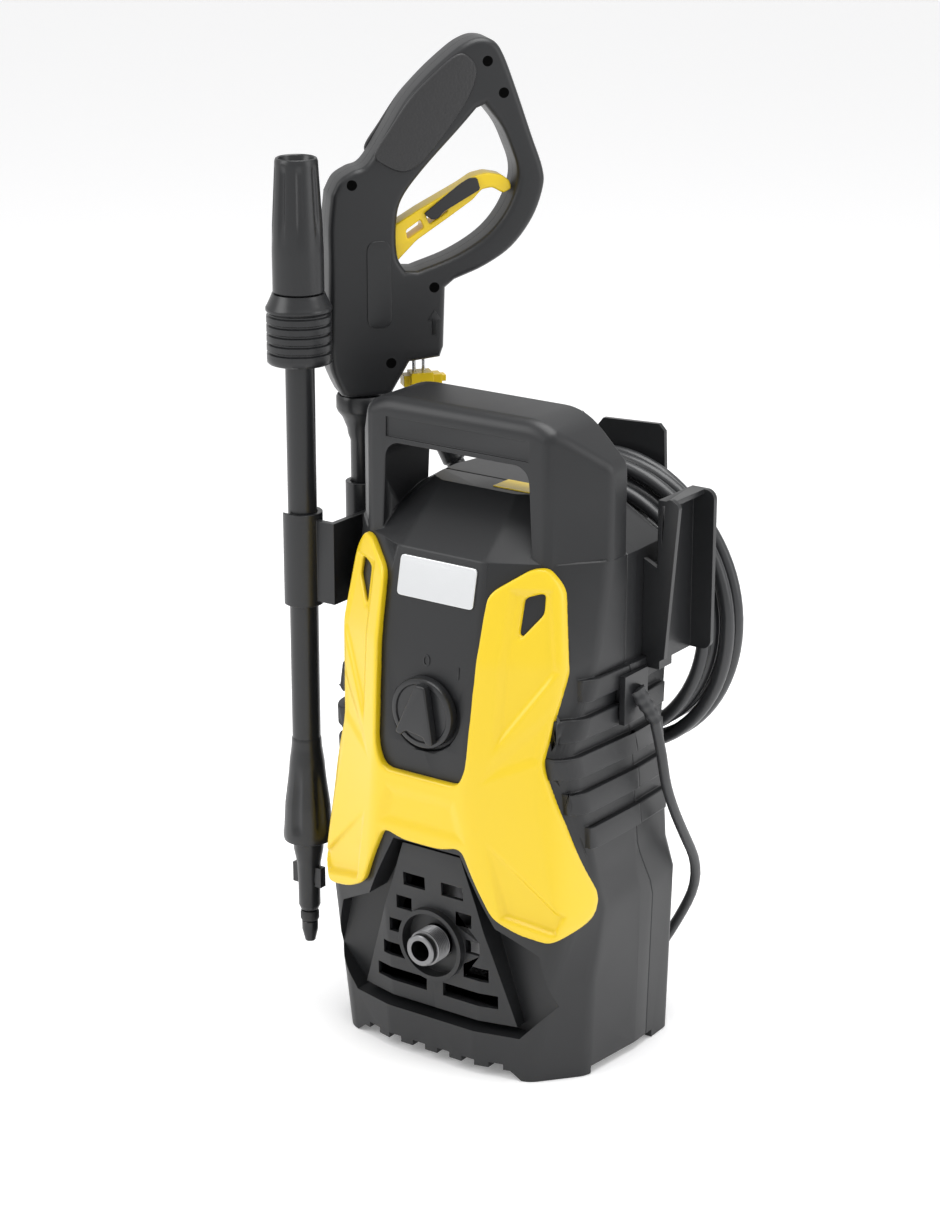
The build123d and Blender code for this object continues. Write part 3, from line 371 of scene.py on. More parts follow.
def plate_mesh(name, outlines, low, high, radius, resolution=4):
    """Prism of flat outlines (x, z) between two depths, with quarter-round edges.

    The first outline is the outside and the others are openings. It is a filled flat curve with
    a round edge, made a mesh and stood up so that its thickness runs along Y.
    """
    curve = bpy.data.curves.new(name, "CURVE")
    curve.dimensions = "2D"
    curve.fill_mode = "BOTH"
    for outline in outlines:
        spline = curve.splines.new("POLY")
        spline.points.add(len(outline) - 1)
        flat = np.zeros((len(outline), 4))
        flat[:, :2] = np.array(outline) / 1000.0
        flat[:, 3] = 1.0
        spline.points.foreach_set("co", flat.ravel())
        spline.use_cyclic_u = True
    curve.extrude = (high - low) / 2000.0 - radius / 1000.0
    curve.bevel_depth = radius / 1000.0
    curve.offset = -radius / 1000.0
    curve.bevel_resolution = resolution
    holder = bpy.data.objects.new(name, curve)
    bpy.context.scene.collection.objects.link(holder)
    bpy.context.view_layer.update()
    mesh = bpy.data.meshes.new_from_object(holder.evaluated_get(
        bpy.context.evaluated_depsgraph_get()))
    bpy.data.objects.remove(holder)
    bpy.data.curves.remove(curve)
    mesh.transform(Matrix.Translation((0, (low + high) / 2000.0, 0)) @ Matrix.Rotation(
        math.radians(90), 4, "X"))
    return tidy_mesh(mesh)


def joined(name, *meshes):
    """Several closed meshes as one."""
    work = bmesh.new()
    for mesh in meshes:
        work.from_mesh(mesh)
    whole = bpy.data.meshes.new(name)
    work.to_mesh(whole)
    work.free()
    return whole


def cut_half(mesh, keep_low, gap):
    """What a cut across Y = 0 leaves of a closed mesh on one side, with the cut closed."""
    side = -1 if keep_low else 1
    work = bmesh.new()
    work.from_mesh(mesh)
    made = bmesh.ops.bisect_plane(work, geom=work.verts[:] + work.edges[:] + work.faces[:],
                                  plane_co=(0, side * gap, 0), plane_no=(0, -side, 0),
                                  clear_outer=True)
    rim = [e for e in made["geom_cut"] if isinstance(e, bmesh.types.BMEdge)]
    bmesh.ops.triangle_fill(work, use_beauty=True, edges=rim)
    bmesh.ops.recalc_face_normals(work, faces=work.faces)
    half = bpy.data.meshes.new(mesh.name + "_half")
    work.to_mesh(half)
    work.free()
    return half


def gun_frame():
    """From the gun's own plane, tube axis at its origin, to its place in the holder."""
    return Matrix.Translation(mm(GUN[0], GUN[1], 0.0)) @ Matrix.Rotation(GUN_TURN, 4, "Z")


def in_gun(mesh):
    """Moves a mesh made in the gun's plane to its place."""
    mesh.transform(gun_frame())
    return mesh


def finished_node(node, name, material, body, edge, smooth=32.0, segments=3, limit=28.0,
                  weigh=None, merge=5e-6):
    """A CAD node's own shape with its doubles merged, its edges rounded and a finish.

    weigh(x, y, z) gives the share of the full rounding at a place. An edge gets no more than two
    fifths of its shortest neighbour's length, so that small features stay whole. Such a mesh is
    cut at its middle and across its hand opening first, so that no face runs round the opening.
    """
    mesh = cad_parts[node].data.copy()
    mesh.name = name
    work = bmesh.new()
    work.from_mesh(mesh)
    bmesh.ops.remove_doubles(work, verts=work.verts, dist=merge)
    bmesh.ops.dissolve_degenerate(work, edges=work.edges, dist=merge)
    kept = set()
    for place, normal in HOUSING_CUTS if weigh else ():
        cut = bmesh.ops.bisect_plane(work, geom=[*work.verts, *work.edges, *work.faces],
                                     dist=1e-6, plane_co=place, plane_no=normal)
        kept.update(e for e in cut["geom_cut"] if isinstance(e, bmesh.types.BMEdge))
    loose = [e for e in work.edges if e not in kept]
    bmesh.ops.dissolve_limit(work, angle_limit=math.radians(0.8), verts=work.verts, edges=loose)
    if weigh:
        layer = work.edges.layers.float.new("bevel_weight_edge")
        turn = math.radians(limit)
        sharp = {e for e in work.edges if len(e.link_faces) == 2
                 and e.calc_face_angle(0.0) > turn}
        short = {v: min(e.calc_length() for e in v.link_edges)
                 for v in {v for e in sharp for v in e.verts}}
        for e in sharp:
            place = (e.verts[0].co + e.verts[1].co) * 500.0
            most = 0.4 * min(short[e.verts[0]], short[e.verts[1]], e.calc_length()) / edge
            e[layer] = max(min(weigh(*place), most), 0.0)
    work.to_mesh(mesh)
    work.free()
    piece = add_piece(name, mesh, material, body, (node,), smooth)
    if edge:
        bevel = piece.modifiers.new("Rounded edges", "BEVEL")
        bevel.width = edge
        bevel.segments = segments
        bevel.limit_method = "WEIGHT" if weigh else "ANGLE"
        bevel.angle_limit = math.radians(limit)
        bevel.use_clamp_overlap = not weigh
        bevel.harden_normals = not weigh
        bevel.miter_outer = "MITER_SHARP" if weigh else "MITER_ARC"
    return piece


def shell_weight(x, y, z):
    """A third of the full rounding, and little in recesses and round the base."""
    if abs(x) < 53 and 372 < z < 392 and y < -27:
        return 0.08
    if y < -25 and z < 145:
        return 0.03
    if z < 10:
        return 0.07
    if abs(x) > 80 and z < 262:
        return 0.16
    return 0.3


def paint(material, *names):
    """Gives CAD nodes that show as they are a finish."""
    for name in names:
        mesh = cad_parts[name].data
        mesh.materials.clear()
        mesh.materials.append(material)


def curve_piece(name, points, radius, material, body="housing"):
    """Round cord along one smooth open curve through its control points, in millimetres."""
    curve = bpy.data.curves.new(name, "CURVE")
    curve.dimensions = "3D"
    spline = curve.splines.new("NURBS")
    points = np.array(points, float) / 1000.0
    spline.points.add(len(points) - 1)
    spline.points.foreach_set("co", np.hstack([points, np.ones((len(points), 1))]).ravel())
    spline.order_u = 3
    spline.use_endpoint_u = True
    spline.resolution_u = 3
    curve.bevel_depth = radius
    curve.bevel_resolution = 4
    curve.use_fill_caps = True
    piece = bpy.data.objects.new(name, curve)
    bpy.context.scene.collection.objects.link(piece)
    curve.materials.append(material)
    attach(piece, body)
    return piece


def run_length(points):
    """Length of a line of points, in metres, from millimetres."""
    points = np.array(points, float)
    return float(np.linalg.norm(np.diff(points, axis=0), axis=1).sum()) / 1000.0


def spline_length(points, steps=12):
    """Length in metres of the open quadratic NURBS line through control points in millimetres."""
    points = np.array(points, float)
    mids = (points[1:] + points[:-1]) / 2
    mids[0], mids[-1] = points[0], points[-1]
    t = np.linspace(0, 1, steps)[None, :, None]
    a, b, c = mids[:-1, None], points[1:-1, None], mids[1:, None]
    line = ((1 - t) ** 2 * a + 2 * t * (1 - t) * b + t ** 2 * c).reshape(-1, 3)
    return run_length(line)


def late(fraction, start, end):
    """Smooth step of a fraction, 0 before start and 1 after end."""
    t = np.clip((fraction - start) / (end - start), 0, 1)
    return t * t * (3 - 2 * t)


# ------------------------------------------------------------------ stage
def add_light(name, place, target, size, power):
    """Large soft white light that faces a point."""
    light = bpy.data.lights.new(name, "AREA")
    light.shape = "RECTANGLE"
    light.size, light.size_y = size
    light.energy = power
    lamp = bpy.data.objects.new(name, light)
    bpy.context.scene.collection.objects.link(lamp)
    lamp.location = place
    lamp.rotation_euler = (Vector(target) - Vector(place)).to_track_quat("-Z", "Y").to_euler()


class WASHER_OT_stage(bpy.types.Operator):
    """Camera, pale floor and soft lights"""
    bl_idname = "washer.stage"
    bl_label = "Stage"

    def execute(self, context):
        look = context.scene.washer_stage
        camera = bpy.data.cameras.new("Camera")
        camera.sensor_width = SENSOR_MM
        camera.lens = LENS_MM
        camera.clip_end = 50.0
        holder = bpy.data.objects.new("Camera", camera)
        context.scene.collection.objects.link(holder)
        holder.location = CAMERA_PLACE
        holder.rotation_euler = (math.pi / 2 - CAMERA_DROP, 0.0, CAMERA_TURN)
        context.scene.camera = holder

        mesh = bpy.data.meshes.new("floor")
        corners = ((-1, -1), (1, -1), (1, 1), (-1, 1))
        mesh.from_pydata([(FLOOR_REACH * x, FLOOR_REACH * y, 0) for x, y in corners], [],
                         [(0, 1, 2, 3)])
        pale = finish("pale floor", look.floor, 0.6, specular=0.1)
        shader = pale.node_tree.nodes["Principled BSDF"]
        socket(shader, "Emission Color", (1, 1, 1, 1))
        socket(shader, "Emission Strength", FLOOR_GLOW)
        mesh.materials.append(pale)
        floor = bpy.data.objects.new("floor", mesh)
        floor.location.z = -FLOOR_DROP
        context.scene.collection.objects.link(floor)

        world = bpy.data.worlds.new("studio")
        world.use_nodes = True
        back = world.node_tree.nodes["Background"]
        back.inputs["Color"].default_value = (1.0, 1.0, 1.0, 1.0)
        path = world.node_tree.nodes.new("ShaderNodeLightPath")
        strength = world.node_tree.nodes.new("ShaderNodeMapRange")
        socket(strength, "To Min", WORLD_LIGHT)
        socket(strength, "To Max", WORLD_SEEN)
        world.node_tree.links.new(path.outputs["Is Camera Ray"], strength.inputs["Value"])
        world.node_tree.links.new(strength.outputs["Result"], back.inputs["Strength"])
        context.scene.world = world
        context.scene.view_settings.view_transform = "Standard"
        target = (0.0, 0.0, 0.25)
        add_light("key", (-1.0, -1.3, 1.3), target, (1.0, 1.2), look.key)
        add_light("top", (0.15, 0.15, 1.7), target, (1.2, 1.0), look.key * 1.5)
        add_light("side", (1.7, 0.5, 0.8), target, (0.9, 1.2), look.key * 0.55)
        return {"FINISHED"}


# ------------------------------------------------------------------ front of the body
def skin_depth(x, z):
    """Depth of the body's front skin: straight between its lines, evened out over a few mm."""
    table = np.array(FRONT_LINES)

    def plain(px, pz):
        """Depth on the ruled skin itself, from its edges at that height."""
        edge_x, edge_y, crease_x, crease_y, front = (np.interp(pz, table[:, 0], column)
                                                     for column in table[:, 1:].T)
        px = np.abs(px)
        middle = edge_x * 0.45
        near = front + (edge_y - front) * np.clip((px - middle) / (edge_x - middle), 0, 1)
        side = (px - edge_x) / (crease_x - edge_x)
        return near + (crease_y - edge_y) * np.clip(side, 0, 1.6)

    reach = 3.5
    steps = (-1.0, -0.5, 0.0, 0.5, 1.0)
    return sum(plain(x + a * reach, z + b * reach) for a in steps for b in steps) / 25.0


def soft_corners(points, reach, per=4):
    """Closed outline whose corners are quadratic curves from reach before to reach after."""
    points = np.array(points, float)
    before, after = np.roll(points, 1, 0) - points, np.roll(points, -1, 0) - points
    long_before = np.linalg.norm(before, axis=1, keepdims=True)
    long_after = np.linalg.norm(after, axis=1, keepdims=True)
    cut = np.minimum(reach, 0.45 * np.minimum(long_before, long_after))
    a, c = points + before / long_before * cut, points + after / long_after * cut
    t = np.linspace(0, 1, per)[None, :, None]
    return ((1 - t) ** 2 * a[:, None] + 2 * t * (1 - t) * points[:, None]
            + t ** 2 * c[:, None]).reshape(-1, 2)


def inside(points, x, z):
    """How far inside a convex outline, given anticlockwise, each place lies."""
    points = np.array(points, float)
    ways = np.roll(points, -1, 0) - points
    far = [((z - pz) * wx - (x - px) * wz) / math.hypot(wx, wz)
           for (px, pz), (wx, wz) in zip(points, ways)]
    return np.min(far, axis=0)


def on_skin(mesh, relief=None, stretches=0):
    """Moves a flat piece onto the body's skin; its own depth becomes its height off the skin.

    relief(x, z) is how far its front face sinks. stretches cuts long faces up first.
    """
    if stretches:
        work = bmesh.new()
        work.from_mesh(mesh)
        low, high = -0.03, 0.03
        for i in range(1, stretches):
            at = low + (high - low) * i / stretches
            bmesh.ops.bisect_plane(work, geom=work.verts[:] + work.edges[:] + work.faces[:],
                                   plane_co=(at, 0, 0), plane_no=(1, 0, 0))
        work.to_mesh(mesh)
        work.free()
    places = np.empty(len(mesh.vertices) * 3)
    mesh.vertices.foreach_get("co", places)
    places = places.reshape(-1, 3) * 1000.0
    x, y, z = places.T
    depth = skin_depth(x, z)
    if relief is not None:
        front = np.clip(-y / 3.0, 0, 1)
        depth = depth + relief(x, z) * front
    places[:, 1] = y + depth
    mesh.vertices.foreach_set("co", places.ravel() / 1000.0)
    mesh.update()
    return mesh


def trim_relief(x, z):
    """Sunk fields of the trim: one in each arm, one in each foot, and a hollow band across."""
    x = np.abs(x)
    arm = inside([(45, 206), (78, 258), (70, 306), (47, 306)], x, z)
    lower = inside([(38, 188), (72, 204), (79, 244), (45, 206)], x, z)
    foot = inside([(52, 107), (84, 99), (88, 112), (42, 158)], x, z)
    sunk = 2.4 * late(arm, 0.0, 5.0)
    sunk += 1.2 * late(lower, 0.0, 7.0)
    sunk += np.clip((158 - z) / 12.0, 0, 4.2) * late(foot, 0.0, 3.2)
    band = inside([(-34, 150), (34, 150), (26, 179), (-26, 179)], x, z)
    return sunk + 1.6 * late(band, 0.0, 9.0)


def trim_mesh():
    """Hourglass trim: a flat rounded plate, made an even fine mesh and laid on the skin."""
    half = [(13, 143.5), (28, 148), (47, 106), (62, 98), (81, 94), (93, 103), (93.5, 117),
            (82, 165), (70.5, 203), (79.5, 258), (73, 306), (64.5, 317), (56.5, 316.5),
            (36.5, 302), (32, 199), (27, 187)]
    whole = half + [(-x, z) for x, z in reversed(half)]
    window = [(53.5, 275), (65, 291), (64.5, 303), (54, 299.5)]
    holes = [soft_corners(window, 2.0), soft_corners([(-x, z) for x, z in window], 2.0)]
    flat = plate_mesh("trim", [soft_corners(whole, 6.0, 6), *holes], -5.6, 1.0, 1.6, 3)
    holder = bpy.data.objects.new("trim", flat)
    bpy.context.scene.collection.objects.link(holder)
    remesh = holder.modifiers.new("Even mesh", "REMESH")
    remesh.mode = "VOXEL"
    remesh.voxel_size = 0.00095
    soften = holder.modifiers.new("Soften", "SMOOTH")
    soften.factor = 0.5
    soften.iterations = 4
    bpy.context.view_layer.update()
    even = bpy.data.meshes.new_from_object(holder.evaluated_get(
        bpy.context.evaluated_depsgraph_get()))
    bpy.data.objects.remove(holder)
    return on_skin(even, trim_relief)


# ------------------------------------------------------------------ housing
class WASHER_OT_housing(bpy.types.Operator):
    """Front and rear shell, handle cover, trim, name plate and roof label"""
    bl_idname = "washer.housing"
    bl_label = "Housing"

    def execute(self, context):
        edge = context.scene.washer_body.edge
        for node, name in (("front_shell", "housing_front"), ("rear_shell", "housing_rear")):
            finished_node(node, name, dark_plastic(), "housing", 0.005,
                          limit=20.0, smooth=34.0, segments=4, weigh=shell_weight, merge=1e-5)
        paint(dark_smooth(), "handle_cover")
        add_piece("yellow_trim", trim_mesh(), accent_plastic(), "housing",
                  ("front_trim",), smooth=60.0)
        plate = soft_corners([(-27, 290.5), (27, 290.5), (27, 314), (-27, 314)], 3.0, 5)
        add_piece("blank_plate", on_skin(plate_mesh("plate", [plate], -1.2, 0.4, 0.35),
                                         stretches=12), brushed_plate(), "housing",
                  ("name_plate",), smooth=40.0)
        finished_node("top_label", "roof_label", accent_plastic(), "housing",
                      edge * 0.1)
        return {"FINISHED"}


class WASHER_OT_fittings(bpy.types.Operator):
    """Cable hook, accessory holder, hose saddle, cord gland and water inlet"""
    bl_idname = "washer.fittings"
    bl_label = "Fittings"

    def execute(self, context):
        edge = context.scene.washer_body.edge
        for node, name, width in [("cable_hook", "hook", 0.6), ("accessory_holder", "holder", 0.6),
                                  ("hose_saddle", "saddle", 0.6), ("cord_gland", "gland", 1.0)]:
            finished_node(node, name, dark_smooth(), "housing", edge * width)
        finished_node("water_inlet", "inlet", black_plastic(), "housing",
                      edge * 0.3)
        paint(dark_smooth(), "inlet_strainer")
        paint(bright_steel(), "shell_screws")
        return {"FINISHED"}


class WASHER_OT_knob(bpy.types.Operator):
    """Round switch knob with a raised pointer, and its marks on the housing"""
    bl_idname = "washer.knob"
    bl_label = "Switch knob"

    def execute(self, context):
        face = -68.6
        back = -62.4
        profile = [(0, back), (KNOB_R - 1.0, back), (KNOB_R, back - 0.6), (KNOB_R, face + 1.4),
                   (KNOB_R - 0.5, face + 0.4), (KNOB_R - 1.6, face), (KNOB_R - 3.4, face),
                   (KNOB_R - 4.2, face + 0.9), (0, face + 0.9)]
        disc = lathe("knob_disc", profile, (0, 0, KNOB_Z), axis="y")
        lean = math.radians(8)
        pointer = soft_corners([(-3.2, 19.0), (-13.5, -14.5), (-9, -15.5), (-6.5, -11.5),
                                (6.5, -11.5), (9, -15.5), (13.5, -14.5), (3.2, 19.0)], 1.6, 3)
        plate = plate_mesh("pointer", [pointer], KNOB_FACE_Y + 0.1, face + 1.2, 1.2)
        plate.transform(Matrix.Translation(mm(0, 0, KNOB_Z)) @ Matrix.Rotation(lean, 4, "Y"))
        stem = lathe("stem", [(0, -63), (4.4, -63), (4.4, -49.9), (0, -49.9)], (0, 0, KNOB_Z),
                     axis="y")
        add_piece("knob", joined("knob", disc, plate, stem), dark_smooth(), "knob",
                  ("switch_knob",))
        bar = np.array([(20.2, 249), (21.4, 249), (21.4, 256), (20.2, 256)])
        marks = [plate_mesh(mark, outlines, -0.45, 0.3, 0.1, 1) for mark, outlines in (
            ("zero", [oval(-2, 256, 2.4, 3.4), oval(-2, 256, 1.5, 2.5)]), ("one", [bar]))]
        add_piece("switch_marks", on_skin(joined("marks", *marks)), dark_smooth(), "housing")
        return {"FINISHED"}


class WASHER_OT_outlet(bpy.types.Operator):
    """Threaded outlet stub"""
    bl_idname = "washer.outlet"
    bl_label = "Outlet"

    def execute(self, context):
        root, crest, pitch = 9.9, 10.9, 1.5
        profile = [(6.5, -70.8), (7.4, -71.0), (9.2, -71.0), (9.8, -70.4), (9.8, -66.4)]
        y = -66.0
        while y < -54.5:
            profile += [(crest, y), (crest, y + 0.25), (root, y + 0.75), (root, y + 1.0)]
            y += pitch
        profile += [(root, -53.0), (root, -26.5), (6.5, -26.5), (6.5, -70.8)]
        add_piece("outlet", lathe("outlet", profile, (0, 0, OUTLET_Z), axis="y"), dark_metal(),
                  "housing", ("pressure_outlet",), smooth=25)
        return {"FINISHED"}


# ------------------------------------------------------------------ lance
class WASHER_OT_lance(bpy.types.Operator):
    """Nozzle sleeve, collar, tube, coupling and bayonet"""
    bl_idname = "washer.lance"
    bl_label = "Lance"

    def execute(self, context):
        centre = (*LANCE, 0)
        sleeve = fine([(0, 524), (8.8, 524), (9.6, 528), (10.6, 531.4), (11.4, 532), (12.2, 531.6),
                       (12.8, 530), (13.2, 522), (14.9, 492), (15.3, 477), (15.3, 453.2),
                       (14.6, 452.4), (0, 452.4)], 2.0)

        def flutes(angle, height):
            """Eight shallow hollows that run out towards the middle of the sleeve."""
            fade = late(height, 478, 500) * (1 - late(height, 524, 529))
            hollow = np.clip(np.cos(8 * angle) - 0.25, 0, 1) ** 0.8
            return 1 - 0.11 * fade * hollow

        add_piece("sleeve", lathe("sleeve", sleeve, centre, 160, flutes), dark_smooth(),
                  "nozzle", ("nozzle_sleeve",))
        paint(cast_metal(), "nozzle_insert")

        collar = [(0, 410), (18.6, 410), (19.4, 410.8)]
        for i in range(5):
            z = 413.0 + 5.6 * i
            collar += [(19.8, z), (19.8, z + 3.4), (18.5, z + 4.1), (18.5, z + 4.9)]
        collar += [(19.8, 442.0), (19.8, 443.5), (18.8, 445.2), (16.4, 450.4), (15.8, 452), (0, 452)]

        def pads(angle, height):
            """Grooves only on four broad pads, with plain strips between them."""
            strip = np.clip(np.cos(4 * angle + 0.6) * 6 + 4.6, 0, 1)
            band = late(height, 411, 412) * (1 - late(height, 440, 441.5))
            return 1 - 0.022 * band * (1 - strip)

        add_piece("collar", lathe("collar", fine(collar, 1.2), centre, 144, pads), dark_smooth(),
                  "lance", ("lance_collar",))
        tube = lathe("tube", [(0, 150), (8.8, 150), (8.8, 410), (0, 410)], centre, 64)
        add_piece("tube", tube, dark_smooth(), "lance", ("lance_tube",))

        hub = fine([(0, 104), (13.4, 104), (15.2, 105), (15.6, 107), (15.6, 110), (14.5, 128),
                    (12.6, 142), (11.2, 155), (9.6, 166), (9.2, 172), (8.8, 173), (8.8, 152),
                    (0, 152)], 2.0)

        def grips(angle, height):
            """Six finger hollows in the lower cone."""
            fade = late(height, 110, 118) * (1 - late(height, 140, 158))
            return 1 - 0.13 * fade * np.clip(np.cos(6 * angle + 2.1) - 0.1, 0, 1)

        add_piece("hub", lathe("hub", hub, centre, 144, grips), dark_smooth(), "lance",
                  ("lance_coupling",))
        finished_node("bayonet", "bayonet_plug", dark_smooth(), "lance", 0.0006)
        ring = [(4.2, 49.4), (5.4, 49.4), (5.9, 50.4), (5.9, 54.6), (5.4, 55.6), (4.2, 55.6),
                (4.2, 49.4)]
        add_piece("seal", lathe("seal", ring, centre, 48), black_plastic(), "lance",
                  ("lance_o_ring",))
        return {"FINISHED"}


# ------------------------------------------------------------------ spray gun
def gun_outside():
    """Outline of the gun's body in its own plane: round back and loop, straight lower block."""
    loop = smooth_line([(-19, 505), (-14, 514), (-6, 519), (3, 523), (15, 541), (27, 560),
                        (40, 574), (54, 586), (63, 592), (72, 594.6), (81, 592), (87, 583),
                        (95, 562), (104, 536), (111, 516), (111.5, 504), (105, 486), (92, 469),
                        (75, 458), (56, 450.5)], 5)
    block = np.array([(50.4, 446), (49.3, 410), (47, 403.4), (28, 401.5), (17, 383), (13, 381.2),
                      (-10, 381.2), (-14, 383)])
    back = smooth_line([(-17, 389), (-21, 400), (-22, 415), (-21.5, 440), (-21, 465),
                        (-21, 485), (-19, 505)], 5)
    return np.vstack([loop, block, back[:-1]])


def gun_opening():
    """Outline of the hand opening."""
    outer = smooth_line([(75, 555), (85, 542), (91, 529), (95.2, 516), (94, 504), (87, 489),
                         (75, 476), (56, 465), (33, 457)], 6)
    inner = smooth_line([(26, 457.5), (21, 467), (20.5, 486), (24, 501), (37, 518), (59, 541),
                         (70, 553)], 5)
    return np.vstack([outer, inner])


def grip_outline():
    """Outline of the soft pads on the hand grip."""
    return smooth_line([(7, 529), (12, 522.5), (24.5, 517.5), (36, 523.5), (51, 541), (64, 560),
                        (69, 575), (65, 583.5), (57, 585.5), (41, 573), (28, 560), (16, 543)],
                       5, True)


class WASHER_OT_gun(bpy.types.Operator):
    """Gun body in two halves, soft grip, painted shade of the screw wells, coupling, trigger, lock
    and hose clip
    """
    bl_idname = "washer.gun"
    bl_label = "Spray gun"

    def execute(self, context):
        t = GUN_HALF_T
        whole = plate_mesh("gun_body", [gun_outside(), gun_opening()], -t, t, 4.2, 5)
        near = in_gun(cut_half(whole, True, mm(0.12)))
        far = in_gun(cut_half(whole, False, mm(0.12)))
        add_piece("gun_near", near, dark_plastic(), "gun", ("gun_shell_near",))
        add_piece("gun_far", far, dark_plastic(), "gun", ("gun_shell_far",))
        pads = [plate_mesh("pad", [grip_outline()], y0, y1, 1.1)
                for y0, y1 in ((-t - 1.2, -t + 1.4), (t - 1.4, t + 1.2))]
        add_piece("grip_pads", in_gun(joined("pads", *pads)), grip_plastic(), "gun",
                  ("grip_insert",))
        # Near-black discs over the screws: painted shade standing for the shadow in the sunk screw
        # wells.
        well_shade_discs = []
        for u, z in GUN_SCREWS:
            ring = [(0, -t - 0.12), (3.0, -t - 0.12), (3.3, -t + 0.1), (3.3, -t + 2), (0, -t + 2)]
            well_shade_discs.append(lathe("well_shade_disc", ring, (u, 0, z), 24, axis="y"))
        add_piece("screw_well_painted_shade", in_gun(joined("well_shade_discs", *well_shade_discs)), painted_well_shade(), "gun",
                  ("gun_screws",))
        arrow = np.array([(43, 433), (39, 427), (41.6, 427), (41.6, 418), (44.4, 418),
                          (44.4, 427), (47, 427)])
        add_piece("gun_arrow", in_gun(plate_mesh("arrow", [arrow], -t - 0.45, -t + 0.4, 0.2, 1)),
                  dark_smooth(), "gun")
        plaque = soft_corners([(1.5, 424), (16.5, 424), (16.5, 477), (1.5, 477)], 7.0, 8)
        add_piece("gun_plaque", in_gun(plate_mesh("plaque", [plaque], -t - 0.6, -t + 0.6, 0.5)),
                  dark_smooth(), "gun")
        coupling = [(0, 265), (6.2, 265), (6.6, 265.6), (6.6, 352), (8.0, 356), (8.6, 360),
                    (11.5, 367), (14.2, 370.5), (15, 372.5), (15, 379.5), (14.2, 381), (0, 381)]
        add_piece("gun_socket", lathe("socket", coupling, (*GUN, 0), 72), dark_smooth(), "gun",
                  ("gun_coupling",))
        lever = soft_corners([(-3, 461), (20, 460.5), (34, 474.5), (54, 487.5), (69, 497.5),
                              (74.5, 503.5), (81, 504.5), (88, 500.5), (93, 503), (92, 508),
                              (87, 511.8), (78, 513.6), (70, 512), (62, 507), (36, 493.5),
                              (18, 483), (12, 476.5), (-3, 469)], 1.6, 3)
        pockets = [soft_corners(p, 0.8, 2) for p in (
            [(28.5, 475.5), (38.5, 482), (36.5, 487), (27.5, 481)],
            [(42, 484), (53.5, 491.5), (51, 496), (40, 489.5)])]
        bore = oval(*TRIGGER_PIVOT, PIN_BORE_R, PIN_BORE_R)
        body = plate_mesh("lever", [lever, *pockets, bore], -TRIGGER_HALF_T, TRIGGER_HALF_T, 1.2)
        add_piece("trigger_lever", in_gun(body), accent_plastic(), "trigger",
                  ("trigger",))
        slide = soft_corners([(38, 490.8), (43, 487), (47, 487.6), (50, 491.4), (73, 504),
                              (71, 511.2), (66, 511), (60, 507.5)], 0.9, 2)
        add_piece("lock_slide", in_gun(plate_mesh("slide", [slide], -9.2, -7.25, 0.5)),
                  black_plastic(), "trigger_lock", ("trigger_lock",))
        finished_node("hose_clip", "yellow_clip", accent_plastic(), "hose_clip",
                      0.0008)
        paint(bright_steel(), "clip_rods", "trigger_pin", "trigger_spring", "valve_rod")
        paint(cast_metal(), "gun_valve")
        return {"FINISHED"}


# ------------------------------------------------------------------ hose and cord
def hose_line():
    """Centre line of the hose: up from its lower end, six turns on the saddle, then its tail.

    Each turn goes once round the coil's axis at its own radius and depth, and moves over to the
    next place in a short stretch, so that turns never come closer than a hose's width. The depth
    also wanders a little with a slow sine, as hose that was wound by hand does.
    """
    places = [(92.0, 90.6), (92.0, 101.2), (92.0, 111.4), (81.6, 111.4), (81.6, 101.2),
              (81.6, 90.8), (81.6, 80.8)]
    start = math.radians(200)
    per = 28
    rows = [[HOSE_START, (-67.0, 90.4, 221.0)]]
    for i in range(len(places) - 1):
        (r0, y0), (r1, y1) = places[i], places[i + 1]
        window = (0.55, 0.95) if i < 2 else (0.28, 0.52) if i == 2 else (0.02, 0.25)
        part = np.arange(per) / per
        move = late(part, *window)
        angle = start - 2 * np.pi * (part + i)
        radius = r0 + (r1 - r0) * move
        depth = y0 + (y1 - y0) * move
        rows.append(np.stack([HOSE_X + radius * np.cos(angle), depth,
                              HOSE_Z + radius * np.sin(angle)], -1))
    rows.append(HOSE_TAIL)
    return np.vstack(rows)


def cord_line():
    """Centre line of the mains cord: its route, the coil's turns in five layers, and the tail.

    A layer's turns lie a little more than a cord's width apart. At the end of a layer the cord
    climbs first and the other turns move over later, so that none meet.
    """
    pitch, outer = 6.6, 47.1
    radii = [outer - pitch * i for i in range(4)]
    places = []
    for layer in range(5):
        order = radii if layer % 2 == 0 else radii[::-1]
        places += [(r, 4.2 + pitch * layer) for r in order]
    start = math.radians(-44)
    per = 20
    rows = [CORD_ROUTE]
    for i, (r0, z0) in enumerate(places):
        r1, z1 = places[min(i + 1, len(places) - 1)]
        rises = z1 > z0
        part = np.arange(per) / per
        move = late(part, 0.02, 0.30) if rises else late(part, 0.45, 0.85)
        angle = start - 2 * np.pi * (part + i)
        radius = r0 + (r1 - r0) * move
        height = z0 + (z1 - z0) * move
        rows.append(np.stack([COIL_X + radius * np.cos(angle), COIL_Y + radius * np.sin(angle),
                              height], -1))
    part = np.arange(7) / per
    angle = start - 2 * np.pi * part
    rows.append(np.stack([COIL_X + 27.3 * np.cos(angle), COIL_Y + 27.3 * np.sin(angle),
                          30.6 + 0 * part], -1))
    rows.append(CORD_TAIL)
    return np.vstack(rows)


def along(mesh, place, way):
    """Stands a mesh that was made upright at the origin on a place, pointing along a way."""
    turn = Vector(way).to_track_quat("Z", "Y").to_matrix().to_4x4()
    mesh.transform(Matrix.Translation(mm(*place)) @ turn)
    return mesh


